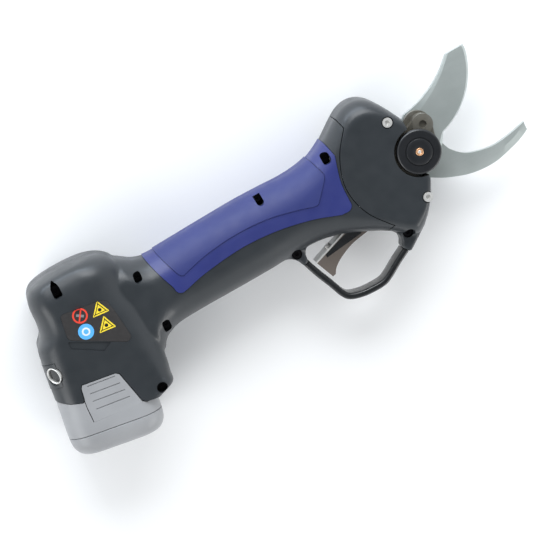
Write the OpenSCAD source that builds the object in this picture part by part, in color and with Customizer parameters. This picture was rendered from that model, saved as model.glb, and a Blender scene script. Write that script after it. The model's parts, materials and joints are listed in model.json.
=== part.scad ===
// Battery electric pruner, lying on its left side.
// Origin: the blade pivot's axis where the left pivot cap rests. +X runs along the grip towards
// the blades, +Y towards the top of the grip, +Z along the pivot axis to the right side.

/* [Shells] */
// Half of the battery housing's width, which is also the middle plane's height
body_half_w = 26; // [25.8:0.1:26.4]
// Half of the grip's and head's width
grip_half_w = 19.4; // [19.2:0.1:19.8]
// Wall of the housing mouldings
wall = 3; // [2.6:0.1:3.1]
// Thickness of the blue grip covers
cover_t = 1.4; // [1.2:0.1:1.5]
// Gap round mouldings that move against each other
move_gap = 0.4; // [0.35:0.05:0.5]
// Half of the trigger guard's width
guard_half_w = 7; // [6.5:0.1:7.4]
// Thickness of the trigger guard's bow
guard_t = 3.6; // [3.2:0.1:4]

/* [Blades] */
// Thickness of each blade
blade_t = 4; // [3.6:0.1:4]
// Radius of the moving blade's hub
hub_r = 13; // [12.5:0.1:13]
// Radius of the pivot bolt's shoulder
pivot_r = 5; // [4.8:0.1:5.2]
// Radius of the round pivot covers
disc_r = 11.8; // [11.4:0.1:12]
// Running clearance on radius between turning parts
run_gap = 0.05; // [0.03:0.01:0.08]

/* [Drive] */
// Teeth of the drive pinion
pinion_teeth = 8; // [8:1:8]
// Teeth that a whole crown gear would have
crown_teeth = 36; // [36:1:36]
// Mean radius of the sector's crown teeth
crown_r = 26; // [25.8:0.1:26.2]
// Module of the planetary stage
planet_module = 0.6; // [0.58:0.01:0.6]
// Radius of the motor can
motor_r = 15; // [14.8:0.1:15]
// Radius of the gearbox
stage_r = 14.2; // [14:0.1:14.2]

/* [Trigger] */
// Half of the trigger's width
trigger_half_w = 6; // [5.5:0.1:6.2]
// Radius of the trigger's hinge pin
trigger_pin_r = 1.5; // [1.4:0.1:1.6]

/* [Battery] */
// Half of the battery's square foot
foot_half = 25.4; // [25:0.1:25.6]
// Half of the battery's square stem
stem_half = 20.2; // [19.8:0.1:20.3]
// Radius of one battery cell
cell_r = 9; // [8.9:0.05:9.1]
// Length of one battery cell
cell_len = 65; // [64:0.5:65]

/* [Hidden] */
$fn = 48;

slate = [0.27, 0.28, 0.30];
blue = [0.22, 0.26, 0.53];
black = [0.12, 0.12, 0.13];
steel = [0.66, 0.68, 0.67];
battery_grey = [0.62, 0.62, 0.63];
trigger_brown = [0.43, 0.40, 0.37];

// Section rows of the grip and head, from the battery housing to the blades:
// bottom x, bottom y, top x, top y, half width, bottom, top and side rounding
grip_rows = [
    [-174, -20, -174, 27, 21.5, 16, 15, 17],
    [-165, -27, -165, 27.5, 21, 15, 14, 16.5],
    [-161, -23, -161, 25.2, 20.6, 14, 14, 16],
    [-156, -20.2, -156, 22, 20.1, 15, 15, 16],
    [-149, -18.8, -149, 20.3, grip_half_w, 17, 16, 16],
    [-135, -18.4, -135, 20.6, grip_half_w - 0.4, 17, 17, 16],
    [-115, -18.4, -115, 21.2, grip_half_w - 0.4, 17, 17, 16],
    [-95, -18.2, -95, 21.6, grip_half_w - 0.4, 17, 17, 16],
    [-80, -17.4, -80, 21.2, grip_half_w - 0.3, 17, 17, 16],
    [-68, -17.4, -68, 20.6, grip_half_w - 0.2, 16, 16, 15],
    [-58, -19.2, -58, 21.2, grip_half_w, 15, 15, 14.5],
    [-50, -22, -50, 23, grip_half_w, 14, 14, 14],
    [-42, -25.6, -42, 26.8, grip_half_w, 12, 12.5, 13.5],
    [-35, -29.2, -36, 30.8, grip_half_w, 10, 11, 13],
    [-29, -33, -30, 34.8, grip_half_w, 9, 10, 12],
    [-23.5, -37.2, -25, 37.6, grip_half_w, 8.5, 9.5, 12],
    [-19.5, -39.2, -20, 38.8, grip_half_w, 8, 9.5, 12],
    [-15.5, -37.2, -15, 38.2, grip_half_w, 7.5, 9.5, 12],
    [-11, -33, -10.5, 35.6, grip_half_w, 6, 9, 12],
    [-7.5, -28.5, -6.5, 31, grip_half_w, 5, 8, 12],
    [-4, -22.5, -3, 25.2, grip_half_w, 4, 7, 11],
    [-1, -16.5, 0.4, 18.6, grip_half_w - 0.6, 3, 4, 8]];

// Section rows of the battery housing, from the top down:
// rear x, y, front x, y, half width, rear, front and side rounding
house_rows = [
    [-203, 34.8, -184, 34.8, 15, 10, 10, 12],
    [-208, 34, -177, 34, 19, 11, 13, 14],
    [-211, 32, -171.5, 32, 22.2, 12, 16, 16],
    [-213, 29, -167, 29, 24.6, 12, 18, 17],
    [-214.4, 25, -164, 25, 25.8, 12, 20, 17],
    [-215.6, 19, -163, 19, body_half_w, 12, 22, 17],
    [-216.8, 13, -163, 13, body_half_w, 12, 22, 17],
    [-218.43, 9.49, -163, 9.6, body_half_w, 12, 22, 16],
    [-221.4, 6.4, -163, 6.4, body_half_w, 12, 21, 15],
    [-222.6, 3, -163, 3, body_half_w, 12, 20, 14],
    [-224.31, -6.02, -163.5, -6, body_half_w, 12, 18, 13],
    [-226.6, -20, -164.5, -20, body_half_w, 12, 14, 12],
    [-228.2, -30, -165.8, -30, body_half_w, 12, 10, 12],
    [-229.6, -38, -168, -38, body_half_w, 12, 8, 12],
    [-230, -41.5, -169.4, -41.5, body_half_w - 0.4, 12, 7.5, 12],
    [-230, -43.6, -171.5, -43.6, body_half_w - 2, 12, 6, 11]];

// Battery frame: origin at the middle of the battery, leaning with the housing
battery_lean = 10;
battery_at = [-199, -10];
foot_round = 12;
foot_bottom = -48.2;
foot_split = -36.5;
stem_mid = 2;
stem_top = 19.6;
stem_round = 9.5;
case_wall = 1.9;
end_wall = 1.4;
contact_at = [stem_mid - 7, stem_mid + 7];
contact_r = 2.4;

// Section rows of the battery foot in the battery frame, from the top down
foot_rows = [
    [-foot_half + 0.9, 0, foot_half, 0, body_half_w, foot_round, foot_round, foot_round],
    [-foot_half + 0.2, -20, foot_half, -20, body_half_w, foot_round, foot_round, foot_round],
    [-foot_half, -34, foot_half, -34, body_half_w, foot_round, foot_round, foot_round],
    [-foot_half + 0.4, -40.5, foot_half - 0.3, -40.5, body_half_w - 0.3, 12, 12, 12],
    [-foot_half + 1.8, -44.4, foot_half - 1.6, -44.4, body_half_w - 1.7, 11.5, 11.5, 11.5],
    [-foot_half + 4.4, -47.1, foot_half - 4.2, -47.1, body_half_w - 4.2, 10, 10, 10],
    [-foot_half + 8, foot_bottom, foot_half - 8, foot_bottom, body_half_w - 8, 8, 8, 8]];

// Screws of the housing: x, y, seat height, post height, tip depth, screw radius
screws = [
    [-198.5, 29.5, 14, 17, -10, 1.5],
    [-158.5, 15, 11, 14, -10, 1.5],
    [-157.5, -14.5, 8.5, 11, -9, 1.5],
    [-175, -38.8, 14, 18, -10, 1.5],
    [-44, 20.5, 8, 11, -8, 1.5],
    [-84.46, 18.56, 6, 7.5, -5, 1]];
guard_screws = [[-80.5, -17.6], [-23.96, -36.35]];
head_screw_at = [[-7.45, 21.46], [-7.02, -23.09]];
trigger_axis = [-41, -20.6];
lug_at = [8.9, 10.9];
lug_turn = atan2(lug_at[1], lug_at[0]);
blade_gap = 0.1;

// Gear sizes that follow from the driving ones
crown_module = 2 * crown_r / crown_teeth;
pinion_pitch_r = crown_module * pinion_teeth / 2;
pressure = 25;
short_add = 0.75;
sun_teeth = 12;
planet_teeth = 15;
ring_teeth = sun_teeth + 2 * planet_teeth;
planet_orbit = planet_module * (sun_teeth + planet_teeth) / 2;

// Stations along the drive line
can_x = [-150, -100];
stage_x = [-96, -80];
case_x = [-80, -52];
bearing_x = [-72, -42];
bearing_w = 6;
bearing_r = 9.5;
shaft_r = 4;
pinion_x = [-29, -23.3];

function lerp(a, b, t) = a + (b - a) * t;
function arc(c, r, a0, a1, n) =
    [for (i = [0:n]) let (a = lerp(a0, a1, i / n)) [c[0] + r * cos(a), c[1] + r * sin(a)]];
function bend(a, b, c, d, t) = 0.5 * (2 * b + (c - a) * t + (2 * a - 5 * b + 4 * c - d) * t * t
    + (3 * b - 3 * c + d - a) * t * t * t);

// A smooth line through the given points or rows, with n steps between neighbours
function spline(p, n) = [for (i = [0:len(p) - 2], j = [0:n - 1])
    bend(p[max(i - 1, 0)], p[i], p[i + 1], p[min(i + 2, len(p) - 1)], j / n), p[len(p) - 1]];

// One quarter of a rounded section: distance from the edge and height
function quarter(r, rz, w, n) =
    [for (i = [0:n]) let (a = 90 * i / n) [r * (1 - cos(a)), w - rz + rz * sin(a)]];

// Half a rounded section on the line from the row's first point to its second
function ring(row, inset, low, n) =
    let (a = [row[0], row[1]], b = [row[2], row[3]], l = norm(b - a), u = (b - a) / l,
        w = row[4] - inset, rz = max(row[7] - inset, 1),
        q0 = quarter(max(row[5] - inset, 1), rz, w, n),
        q1 = quarter(max(row[6] - inset, 1), rz, w, n),
        flat = concat([[inset, low]], [for (q = q0) [inset + q[0], q[1]]],
            [for (i = [n:-1:0]) [l - inset - q1[i][0], q1[i][1]]], [[l - inset, low]]))
    [for (f = flat) let (p = a + u * f[0]) [p[0], p[1], f[1]]];

// A solid half body through rounded sections, reaching down to z = low
module loft(rows, inset = 0, low = 0, n = 4) {
    rings = [for (r = rows) ring(r, inset, low, n)];
    m = len(rings[0]);
    k = len(rings);
    sides = [for (i = [0:k - 2], j = [0:m - 1]) let (a = i * m + j, b = i * m + (j + 1) % m)
        each [[a, b, a + m], [b, b + m, a + m]]];
    caps = [[for (j = [m - 1:-1:0]) j], [for (j = [0:m - 1]) (k - 1) * m + j]];
    polyhedron(points = [for (r = rings) each r], faces = concat(sides, caps));
}

// Keeps what it holds as one skin; round holes in it have a little clearance on their screws
module one_skin() {
    $fn = 20;
    resize([0, 0, 0]) children();
}

module in_battery_frame() {
    translate([battery_at[0], battery_at[1], 0]) rotate(-battery_lean) children();
}

module raised() {
    translate([0, 0, body_half_w]) children();
}

module left_side() {
    mirror([0, 0, 1]) children();
}

module tall(points, z0 = -40, z1 = 40) {
    translate([0, 0, z0]) linear_extrude(z1 - z0) polygon(points);
}

module pin_z(at, r, z0, z1) {
    translate([at[0], at[1], z0]) cylinder(r = r, h = z1 - z0);
}

module rod_x(r, x0, x1, y = 0, z = 0) {
    translate([x0, y, z]) rotate([0, 90, 0]) cylinder(r = r, h = x1 - x0);
}

module tube_x(r, bore, x0, x1) {
    difference() {
        rod_x(r, x0, x1);
        rod_x(bore, x0 - 1, x1 + 1);
    }
}

// ---- Seams between the mouldings, as outlines seen from the side ----

// Everything in front of the seam between the housing and the head covers
head_zone = concat([[-30.8, 50], [-30.5, 38], [-28.8, 30]],
    spline([[-28.8, 30], [-37, 19.5], [-42, 7], [-42.4, -4], [-38.6, -15.5], [-31, -26]], 4),
    [[-29.6, -27.6], [-33.4, -29], [-36, -45], [20, -50], [20, 50]]);

// The blue part of the grip
blue_zone = concat([[-154.5, 40]], spline([[-152, 24], [-148.7, 12.12], [-144.88, 1.1]], 4),
    arc([-141.4, 0], 3.6, 180, 270, 4),
    spline([[-139, -3.2], [-125.97, -0.47], [-104.66, 1.53], [-85.09, 0.33], [-66, -3.6], [-51, -9]], 4),
    arc([-47.4, -5.4], 3.8, 260, 345, 4), spline([[-43.6, 2], [-42.6, 9], [-39.3, 20]], 3),
    [[-41.6, 32], [-42.4, 40]]);

// The soft pad inside the blue part
pad_zone = concat([[-146.6, 40]], spline([[-145, 22], [-142.02, 12.53], [-139.6, 6]], 3),
    arc([-137.2, 6.4], 2.2, 200, 280, 3),
    spline([[-134, 5], [-121, 7.8], [-104, 9.2], [-86, 8.2], [-70, 4.6], [-62, 2]], 4),
    arc([-59.8, 4], 2.2, 260, 320, 3), [[-50.6, 11], [-48.84, 13.5], [-52.2, 25.4], [-53, 40]]);

// Everything below the edge where the battery foot meets the housing; g opens a gap
function battery_edge(g) = [[-245, -19 - g], [-226.8, -20.4 - g], [-222, -23.4 - g],
    [-214.4 + g, -27 - g], [-212 + g, -19.6 - g], [-210.6, -18.4 - g], [-192, -21.4 - g],
    [-190.2 - g, -22.8 - g], [-186.8 - g, -41 - g], [-185 - g, -43 - g], [-178.6, -44 - g],
    [-172, -47 - g]];
function battery_zone(g) = concat(battery_edge(g), [[-172, -75], [-245, -75]]);

// The latch tongue inside that edge
function latch_zone(g) = [[-214 - g, -30], [-211.8 - g, -18], [-190 + g, -20],
    [-186.4 + g, -41.6 - g], [-214.6 - g, -38.4 - g]];

module half_body(inset, low) {
    loft(spline(grip_rows, 2), inset, low);
    loft(house_rows, inset, low);
}

// A row of the housing's inside: above the shoulder it sinks, so that the top is as thick as the sides
shoulder_y = 19;
function sunk(r, depth) =
    let (d = depth * max(0, (r[1] - shoulder_y) / (house_rows[0][1] - shoulder_y)))
    [r[0], r[1] - d, r[2], r[3] - d, r[4], r[5], r[6], r[7]];

module half_cavity(inset, low) {
    loft(grip_rows, inset, low, 3);
    loft([for (r = house_rows) sunk(r, inset)], inset, low, 3);
}

// ---- Housing mouldings ----

button_at = [-220.9, -8, 22];
module on_button_axis(from, to, r) {
    translate(button_at) rotate([0, -50, 0]) translate([0, 0, from]) cylinder(r = r, h = to - from);
}

module screw_posts() {
    for (s = screws) pin_z(s, s[5] * 2.7, 0, s[3]);
    pin_z(trigger_axis, 4, trigger_half_w + 1, 15);
}

module guard_boss(points) {
    tall(points, 0, guard_half_w + 0.4);
}

rear_boss = [[-91, -15.6], [-89, -18.4], [-84.4, -20.2], [-81.4, -23.6], [-80.2, -25.8],
    [-76.4, -25], [-77, -21], [-76, -18.6], [-73, -16.8], [-72, -14.6]];
front_boss = [[-34, -27], [-33.22, -29.48], [-29.4, -32.4], [-28, -35.2], [-28.6, -38.6],
    [-31.2, -40.8], [-28.6, -45], [-20, -40.4], [-17, -36], [-22, -28]];

module half_housing() {
    difference() {
        union() {
            difference() {
                half_body(0, 0);
                half_cavity(wall, -1);
            }
            screw_posts();
            guard_boss(rear_boss);
        }
        difference() {
            tall(blue_zone, -1, 30);
            loft(spline(grip_rows, 2), cover_t, -2);
        }
        tall(head_zone, -1, 30);
        tall(battery_zone(0), -1, 30);
        tall([[-67, -28], [-67, -13], [-36, -13], [-36, -34]], -1, trigger_half_w + 0.9);
        pin_z(trigger_axis, trigger_pin_r + 0.1, -1, 12);
    }
}

module right_housing() {
    color(slate) raised() one_skin() difference() {
        half_housing();
        for (s = screws) {
            pin_z(s, s[5] + 0.1, -1, 30);
            pin_z(s, s[5] * 2, s[2], 40);
        }
        pin_z(guard_screws[0], 1.6, -1, 20);
        pin_z(guard_screws[0], 2.8, 4.5, 20);
        tall(plate_outline(0), body_half_w - 1, 40);
        on_button_axis(-8, 10, 5.6);
        bezel_recess();
    }
}

module left_housing() {
    color(slate) raised() left_side() one_skin() difference() {
        half_housing();
        for (s = screws) pin_z(s, s[5] + 0.1, -1, 0.2 - s[4]);
        pin_z(guard_screws[0], 1.5, -1, 5.2);
        bezel_recess();
    }
}

// The head covers end at a plane near the pivot
head_front = [[-60, -60], [-2.8, -60], [2, 60], [-60, 60]];

module half_head_cover() {
    intersection() {
        union() {
            difference() {
                loft(spline(concat([for (i = [11:21]) grip_rows[i]],
                    [[1.6, -12, 3.6, 16, grip_half_w - 1.6, 3, 4, 8]]), 2), 0, 0);
                loft(concat([for (i = [10:21]) grip_rows[i]],
                    [[3, -16.5, 5, 18.6, grip_half_w, 3, 4, 8]]), wall, -1, 3);
            }
            guard_boss(front_boss);
        }
        tall(head_zone, -1, 30);
        tall(head_front, -1, 30);
    }
}

module head_cover_right() {
    color(slate) raised() one_skin() difference() {
        union() {
            half_head_cover();
            for (p = head_screw_at) pin_z(p, 3, 11.6, grip_half_w - 2);
        }
        pin_z([0, 0], hub_r + 0.3, -1, 30);
        for (p = head_screw_at) {
            pin_z(p, 1.7, -1, 30);
            pin_z(p, 3, grip_half_w - 2.6, 30);
        }
        pin_z(guard_screws[1], 1.6, -1, 20);
        pin_z(guard_screws[1], 2.8, 4.5, 20);
    }
}

module head_cover_left() {
    color(slate) raised() left_side() one_skin() difference() {
        union() {
            half_head_cover();
            for (p = head_screw_at) pin_z(p, 3, 0, grip_half_w - 2);
        }
        pin_z([0, 0], hub_r + 0.3, -5, 30);
        for (p = head_screw_at) pin_z(p, 1.7, -5, 12.2);
        pin_z(guard_screws[1], 1.5, -1, 5.2);
        tall(hook_outline, -1, blade_t + blade_gap + 0.1);
    }
}

module cover_skin() {
    difference() {
        loft(spline([for (i = [2:14]) grip_rows[i]], 2), 0, 0);
        loft(spline([for (i = [1:15]) grip_rows[i]], 2), cover_t, -1);
    }
}

module grip_cover_half() {
    difference() {
        intersection() {
            cover_skin();
            tall(blue_zone, 0, 30);
        }
        tall(pad_zone, -1, 30);
    }
}

module grip_pad_half() {
    intersection() {
        cover_skin();
        tall(pad_zone, 0, 30);
    }
}

module grip_cover_right() {
    color(blue) raised() one_skin() difference() {
        grip_cover_half();
        pin_z(screws[4], 3, 5, 30);
    }
}

module grip_cover_left() {
    color(blue) raised() left_side() one_skin() grip_cover_half();
}

module grip_pad_right() {
    color(blue) raised() one_skin() difference() {
        grip_pad_half();
        pin_z(screws[5], 2, 5, 30);
    }
}

module grip_pad_left() {
    color(blue) raised() left_side() one_skin() grip_pad_half();
}

// Bow of the trigger guard: rear leg, lower bar and front leg as one band
function guard_edge(o) = concat([[-78.4 - o, -25.4 - o * 0.2]],
    arc([-60.4, -43.4], 10.6 + o, 205, 255, 5),
    arc([-50.5, -47], 8.6 + o, 262, 300, 4), [[-29.9 + o * 0.5, -42.9 - o * 0.9]]);

module trigger_guard() {
    outer = guard_edge(guard_t / 2);
    inner = guard_edge(-guard_t / 2);
    color(black) raised() difference() {
        tall(concat(outer, [for (i = [len(inner) - 1:-1:0]) inner[i]]), -guard_half_w, guard_half_w);
        tall(rear_boss, -10, 10);
        tall(front_boss, -10, 10);
    }
}

function plate_outline(g) = concat(arc([-201 + g, 16.6 - g], 2.2, 160, 90, 3),
    arc([-180.5 - g, 13.51 - g], 2.2, 80, 0, 3), arc([-178.4 - g, -8.2 + g], 2.2, 0, -110, 4),
    arc([-203 + g, 6.4 + g], 1.6, 245, 180, 3));

module label_plate() {
    color(black) raised() tall(plate_outline(0), body_half_w - 1, body_half_w - 0.2);
}

// The band round the rear that carries the power button
module bezel_zone(z0) {
    tall([[-240, -0.6], [-217, -1.6], [-219, -14.6], [-240, -13.4]], z0, 40);
}

module bezel_recess() {
    difference() {
        bezel_zone(-1);
        loft(house_rows, 1, -2);
    }
}

module bezel_band() {
    difference() {
        intersection() {
            loft(house_rows, 0, 0);
            bezel_zone(0);
        }
        loft(house_rows, 1, -2);
    }
}

module rear_bezel() {
    color(slate) raised() one_skin() difference() {
        union() {
            bezel_band();
            left_side() bezel_band();
        }
        on_button_axis(-8, 10, 5.6);
    }
}

module button_ring() {
    color(steel) raised() difference() {
        on_button_axis(-2.4, 2.9, 5.4);
        on_button_axis(-3, 4, 4.5);
    }
}

module power_button() {
    color(black) raised() union() {
        on_button_axis(-1.2, 2.4, 4.15);
        on_button_axis(-4, -1, 2.4);
    }
}

// ---- Blades and pivot ----

moving_outline = concat(arc([-2.9, 73.6], 55.8, -83, -43.5, 8), [[48.4, 36]],
    arc([6.4, 41.1], 43.1, -11, -74, 10), [[14.6, -6], [6, -11], [-6, 8]]);
hook_outline = concat([[-19, 9], [-14, 12.5], [2, 12]], arc([0, 0], hub_r, 60, 0, 4),
    spline([[14.6, -4.5], [17.4, -10.8], [24.5, -16.8], [36.5, -19.9], [47, -19.3], [58, -17]], 4),
    [[58.3, -18.6]],
    spline([[56.6, -22], [47.7, -25.6], [34.7, -28.4], [21.3, -27.4], [8.6, -22.9], [0, -18]], 4),
    [[-14, -15], [-19, -11]]);

module moving_blade() {
    color(steel) raised() translate([0, 0, blade_gap]) difference() {
        union() {
            cylinder(r = hub_r, h = blade_t);
            linear_extrude(1.4) polygon(moving_outline);
            linear_extrude(blade_t) intersection() {
                polygon(moving_outline);
                translate([-6, 46]) circle(r = 47.5, $fn = 96);
            }
        }
        translate([0, 0, -1]) cylinder(r = pivot_r + run_gap + 2, h = 9);
        translate([lug_at[0], lug_at[1], -1]) cylinder(r = 2, h = 9);
    }
}

module fixed_blade() {
    color(steel) raised() difference() {
        tall(hook_outline, -blade_t - blade_gap, -blade_gap);
        pin_z([0, 0], pivot_r, -9, 9);
        for (y = [-9, 7]) pin_z([-14.5, y], 2, -9, 9);
    }
}

sector_z = [7.6, 10.6];
crown_span = [172, 244];
module crown_tooth() {
    half_root = 1.15;
    half_tip = 0.55;
    rotate([90, 0, 90]) linear_extrude(5.3)
        polygon([[-half_root, 0.1], [-half_tip, -2.65], [half_tip, -2.65], [half_root, 0.1]]);
}

module sector_gear() {
    color(steel) raised() difference() {
        union() {
            cylinder(r = hub_r - 0.4, h = sector_z[1]);
            tall(concat([[0, 0]], arc([0, 0], crown_r + 2.8, crown_span[0], crown_span[1], 16)),
                sector_z[0], sector_z[1]);
            for (k = [0:6]) rotate(175 + 10 * k) translate([crown_r - 2.5, 0, sector_z[0]])
                crown_tooth();
            pin_z([lug_at[0] - 1.8, lug_at[1]], 7.4, blade_t + 0.2, 7.4);
            pin_z(lug_at, 5.5, blade_t + 0.2, 14);
            tall(lug_web(), blade_t + 0.2, 12.6);
        }
        translate([0, 0, -1]) cylinder(r = hub_r + 2, h = blade_t + blade_gap + 1);
        translate([0, 0, -1]) cylinder(r = pivot_r + run_gap + 2, h = 20);
        pin_z([0, 0], 8.5, sector_z[1], 20);
        pin_z(lug_at, 2, -1, 20);
    }
}

// Straight sides that join the lug to the hub
function lug_web() = [for (s = [[11, -60], [5.5, -88], [5.5, 88], [11, 60]])
    (s[0] < 6 ? lug_at : [0, 0]) + s[0] * [cos(lug_turn + s[1]), sin(lug_turn + s[1])]];

module drive_pin() {
    color(steel) raised() pin_z(lug_at, 2, blade_gap + 0.1, 12);
}

module pivot_bush() {
    color([0.72, 0.55, 0.32]) raised() difference() {
        pin_z([0, 0], pivot_r + run_gap + 2, blade_gap, sector_z[1]);
        pin_z([0, 0], pivot_r + run_gap, -1, 20);
    }
}

module pivot_bolt() {
    color(steel) raised() union() {
        pin_z([0, 0], 8, -20.3, -12);
        pin_z([0, 0], pivot_r, -12, 12.4);
        pin_z([0, 0], 4, 12.4, 16);
    }
}

module thrust_washer() {
    color(steel) raised() difference() {
        pin_z([0, 0], 8, sector_z[1] + 0.1, 12.4);
        pin_z([0, 0], pivot_r, 0, 20);
    }
}

module pivot_nut() {
    color(steel) raised() difference() {
        translate([0, 0, 12.4]) cylinder(r = 7.6, h = 4.6, $fn = 6);
        pin_z([0, 0], 4, 0, 16);
    }
}

module pivot_disc() {
    color(black) raised() difference() {
        union() {
            pin_z([0, 0], disc_r, 17, 19.8);
            pin_z([0, 0], 7, 17, 20.2);
        }
        pin_z([0, 0], 2, 16, 21);
    }
}

module disc_ferrule() {
    color([0.85, 0.55, 0.35]) raised() difference() {
        pin_z([0, 0], 2, 17, 20.4);
        pin_z([0, 0], 0.8, 19, 21);
    }
}

module pivot_cap_left() {
    color(black) raised() pin_z([0, 0], disc_r, -body_half_w, -20.3);
}

module gear_case() {
    plate = [[-50, -11], [-36, -13], [-20, -14], [2, -14.5], [6, -9], [6, 9], [2, 12],
        [-20, 13.5], [-36, 13], [-50, 11]];
    color([0.6, 0.61, 0.62]) raised() difference() {
        union() {
            tall(plate, -12, -blade_t - blade_gap);
            rod_x(stage_r - 1.2, case_x[1], bearing_x[1] + bearing_w);
        }
        rod_x(shaft_r + 0.5, case_x[1] - 1, -30);
        rod_x(bearing_r, bearing_x[1], -30);
        translate([-35.5, -8.5, -13]) cube([16, 17, 10]);
        pin_z([0, 0], pivot_r, -13, 0);
        for (y = [-9, 7]) pin_z([-14.5, y], 2, -13, 0);
    }
}

// ---- Gears ----

function inv(a) = tan(a) - a * PI / 180;
function flank(rb, half, r) = half - inv(acos(min(1, rb / r))) * 180 / PI;

// Outline of an involute gear; slack thins each tooth
function gear_points(teeth, m, ra, rf, slack, steps = 3) =
    let (rp = teeth * m / 2, rb = rp * cos(pressure), r0 = max(rb, rf),
        half = 90 / teeth - slack / rp * 90 / PI + inv(pressure) * 180 / PI)
    [for (k = [0:teeth - 1]) let (c = 360 * k / teeth) each concat(
        rb > rf ? [[rf * cos(c - half), rf * sin(c - half)]] : [],
        [for (i = [0:steps]) let (r = lerp(r0, ra, i / steps), a = c - flank(rb, half, r))
            [r * cos(a), r * sin(a)]],
        [for (i = [steps:-1:0]) let (r = lerp(r0, ra, i / steps), a = c + flank(rb, half, r))
            [r * cos(a), r * sin(a)]],
        rb > rf ? [[rf * cos(c + half), rf * sin(c + half)]] : [])];

module gear_x(points, x0, x1, turn = 0) {
    translate([x0, 0, 0]) rotate([0, 90, 0]) rotate(turn) linear_extrude(x1 - x0) polygon(points);
}

module drive_pinion() {
    color(steel) raised() difference() {
        gear_x(gear_points(pinion_teeth, crown_module, pinion_pitch_r + short_add * crown_module,
            pinion_pitch_r - 1.05 * crown_module, 0.35), pinion_x[0], pinion_x[1], 180);
        rod_x(3, -40, -20);
    }
}

module ring_gear() {
    m = planet_module;
    rp = ring_teeth * m / 2;
    color(steel) raised() difference() {
        rod_x(stage_r, stage_x[0], stage_x[1]);
        gear_x(gear_points(ring_teeth, m, rp + 1.1 * m, rp - 0.7 * m, -0.12, 2),
            stage_x[0] - 1, stage_x[1] + 1);
    }
}

// A planet sits at 0, 120 or 240 degrees and is turned half a tooth so that it meshes with the sun
module planet(k) {
    m = planet_module;
    rp = planet_teeth * m / 2;
    phase = 180 / planet_teeth;
    color(steel) raised() rotate([120 * k, 0, 0]) translate([0, 0, planet_orbit]) difference() {
        gear_x(gear_points(planet_teeth, m, rp + 0.7 * m, rp - 1.0 * m, 0.12), -93.5, -87, phase);
        rod_x(1.2 + run_gap, -100, -80);
    }
}

module planet_gear_1() {
    planet(0);
}

module planet_gear_2() {
    planet(1);
}

module planet_gear_3() {
    planet(2);
}

module sun_gear() {
    m = planet_module;
    rp = sun_teeth * m / 2;
    color(steel) raised() difference() {
        gear_x(gear_points(sun_teeth, m, rp + 0.7 * m, rp - 1.0 * m, 0.12), -94, -86.6, 0);
        rod_x(1.5, -100, -80);
    }
}

module planet_pins() {
    color(steel) raised() for (k = [0:2]) rotate([120 * k, 0, 0])
        rod_x(1.2, -94.4, -82, 0, planet_orbit);
}

module planet_carrier() {
    color(steel) raised() difference() {
        rod_x(11, -86, -82);
        rod_x(shaft_r, -90, -80);
        for (k = [0:2]) rotate([120 * k, 0, 0]) rod_x(1.2, -90, -80, 0, planet_orbit);
    }
}

module output_shaft() {
    color(steel) raised() union() {
        rod_x(shaft_r, -85.8, -31);
        rod_x(3, -31, pinion_x[1]);
    }
}

module shaft_bearings() {
    color(steel) raised() for (x = bearing_x)
        tube_x(bearing_r, shaft_r + run_gap, x, x + bearing_w);
}

module gearbox_case() {
    color([0.6, 0.61, 0.62]) raised() difference() {
        rod_x(stage_r, case_x[0], case_x[1]);
        rod_x(12.2, case_x[0] - 1, bearing_x[0]);
        rod_x(bearing_r, -80, bearing_x[0] + bearing_w);
        rod_x(shaft_r + 0.5, -80, -50);
    }
}

module motor_mount() {
    color([0.6, 0.61, 0.62]) raised() tube_x(stage_r, 5, can_x[1], stage_x[0]);
}

module motor_can() {
    color(black) raised() difference() {
        rod_x(motor_r, can_x[0], can_x[1]);
        rod_x(motor_r - 1.4, can_x[0] + 5, can_x[1] - 5);
        rod_x(5, can_x[0] + 1, can_x[1] + 1);
    }
}

module motor_stator() {
    teeth = 6;
    color([0.5, 0.32, 0.2]) raised() difference() {
        rod_x(motor_r - 1.4, -138, -112);
        rod_x(8.4, -140, -110);
        for (k = [0:teeth - 1]) rotate([360 * k / teeth, 0, 0])
            translate([-140, -1, 8]) cube([30, 2, 4.2]);
    }
}

module motor_rotor() {
    color([0.35, 0.35, 0.37]) raised() tube_x(7.8, 1.5, -137, -113);
}

module motor_shaft() {
    color(steel) raised() rod_x(1.5, can_x[0] + 1.4, -86.6);
}

module motor_bearings() {
    color(steel) raised() for (x = [can_x[0] + 1, can_x[1] - 4])
        tube_x(5, 1.5 + run_gap, x, x + 4);
}

// ---- Electronics ----

// A round lead that follows its points, eight-sided
module lead(points, r, sides = 8) {
    path = spline(points, 3);
    n = len(path);
    rings = [for (i = [0:n - 1])
        let (d = path[min(i + 1, n - 1)] - path[max(i - 1, 0)], t = d / norm(d),
            s = cross(t, [0, 0, 1]), u = s / norm(s), v = cross(t, u))
        [for (j = [0:sides - 1]) let (a = 360 * j / sides)
            path[i] + r * (u * cos(a) + v * sin(a))]];
    sides_f = [for (i = [0:n - 2], j = [0:sides - 1]) let (a = i * sides + j,
        b = i * sides + (j + 1) % sides) each [[a, a + sides, b], [b, a + sides, b + sides]]];
    caps = [[for (j = [0:sides - 1]) j], [for (j = [sides - 1:-1:0]) (n - 1) * sides + j]];
    polyhedron(points = [for (r = rings) each r], faces = concat(sides_f, caps));
}

module motor_leads() {
    color([0.6, 0.12, 0.1]) raised() for (k = [-1:1])
        lead([[-181, 16, k * 5], [-176, 15.4, k * 5], [-170, 13, k * 5], [-164, 9.4, k * 5],
            [-156, 6.5, k * 5], [-150.1, 6, k * 5]], 1);
}

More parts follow.
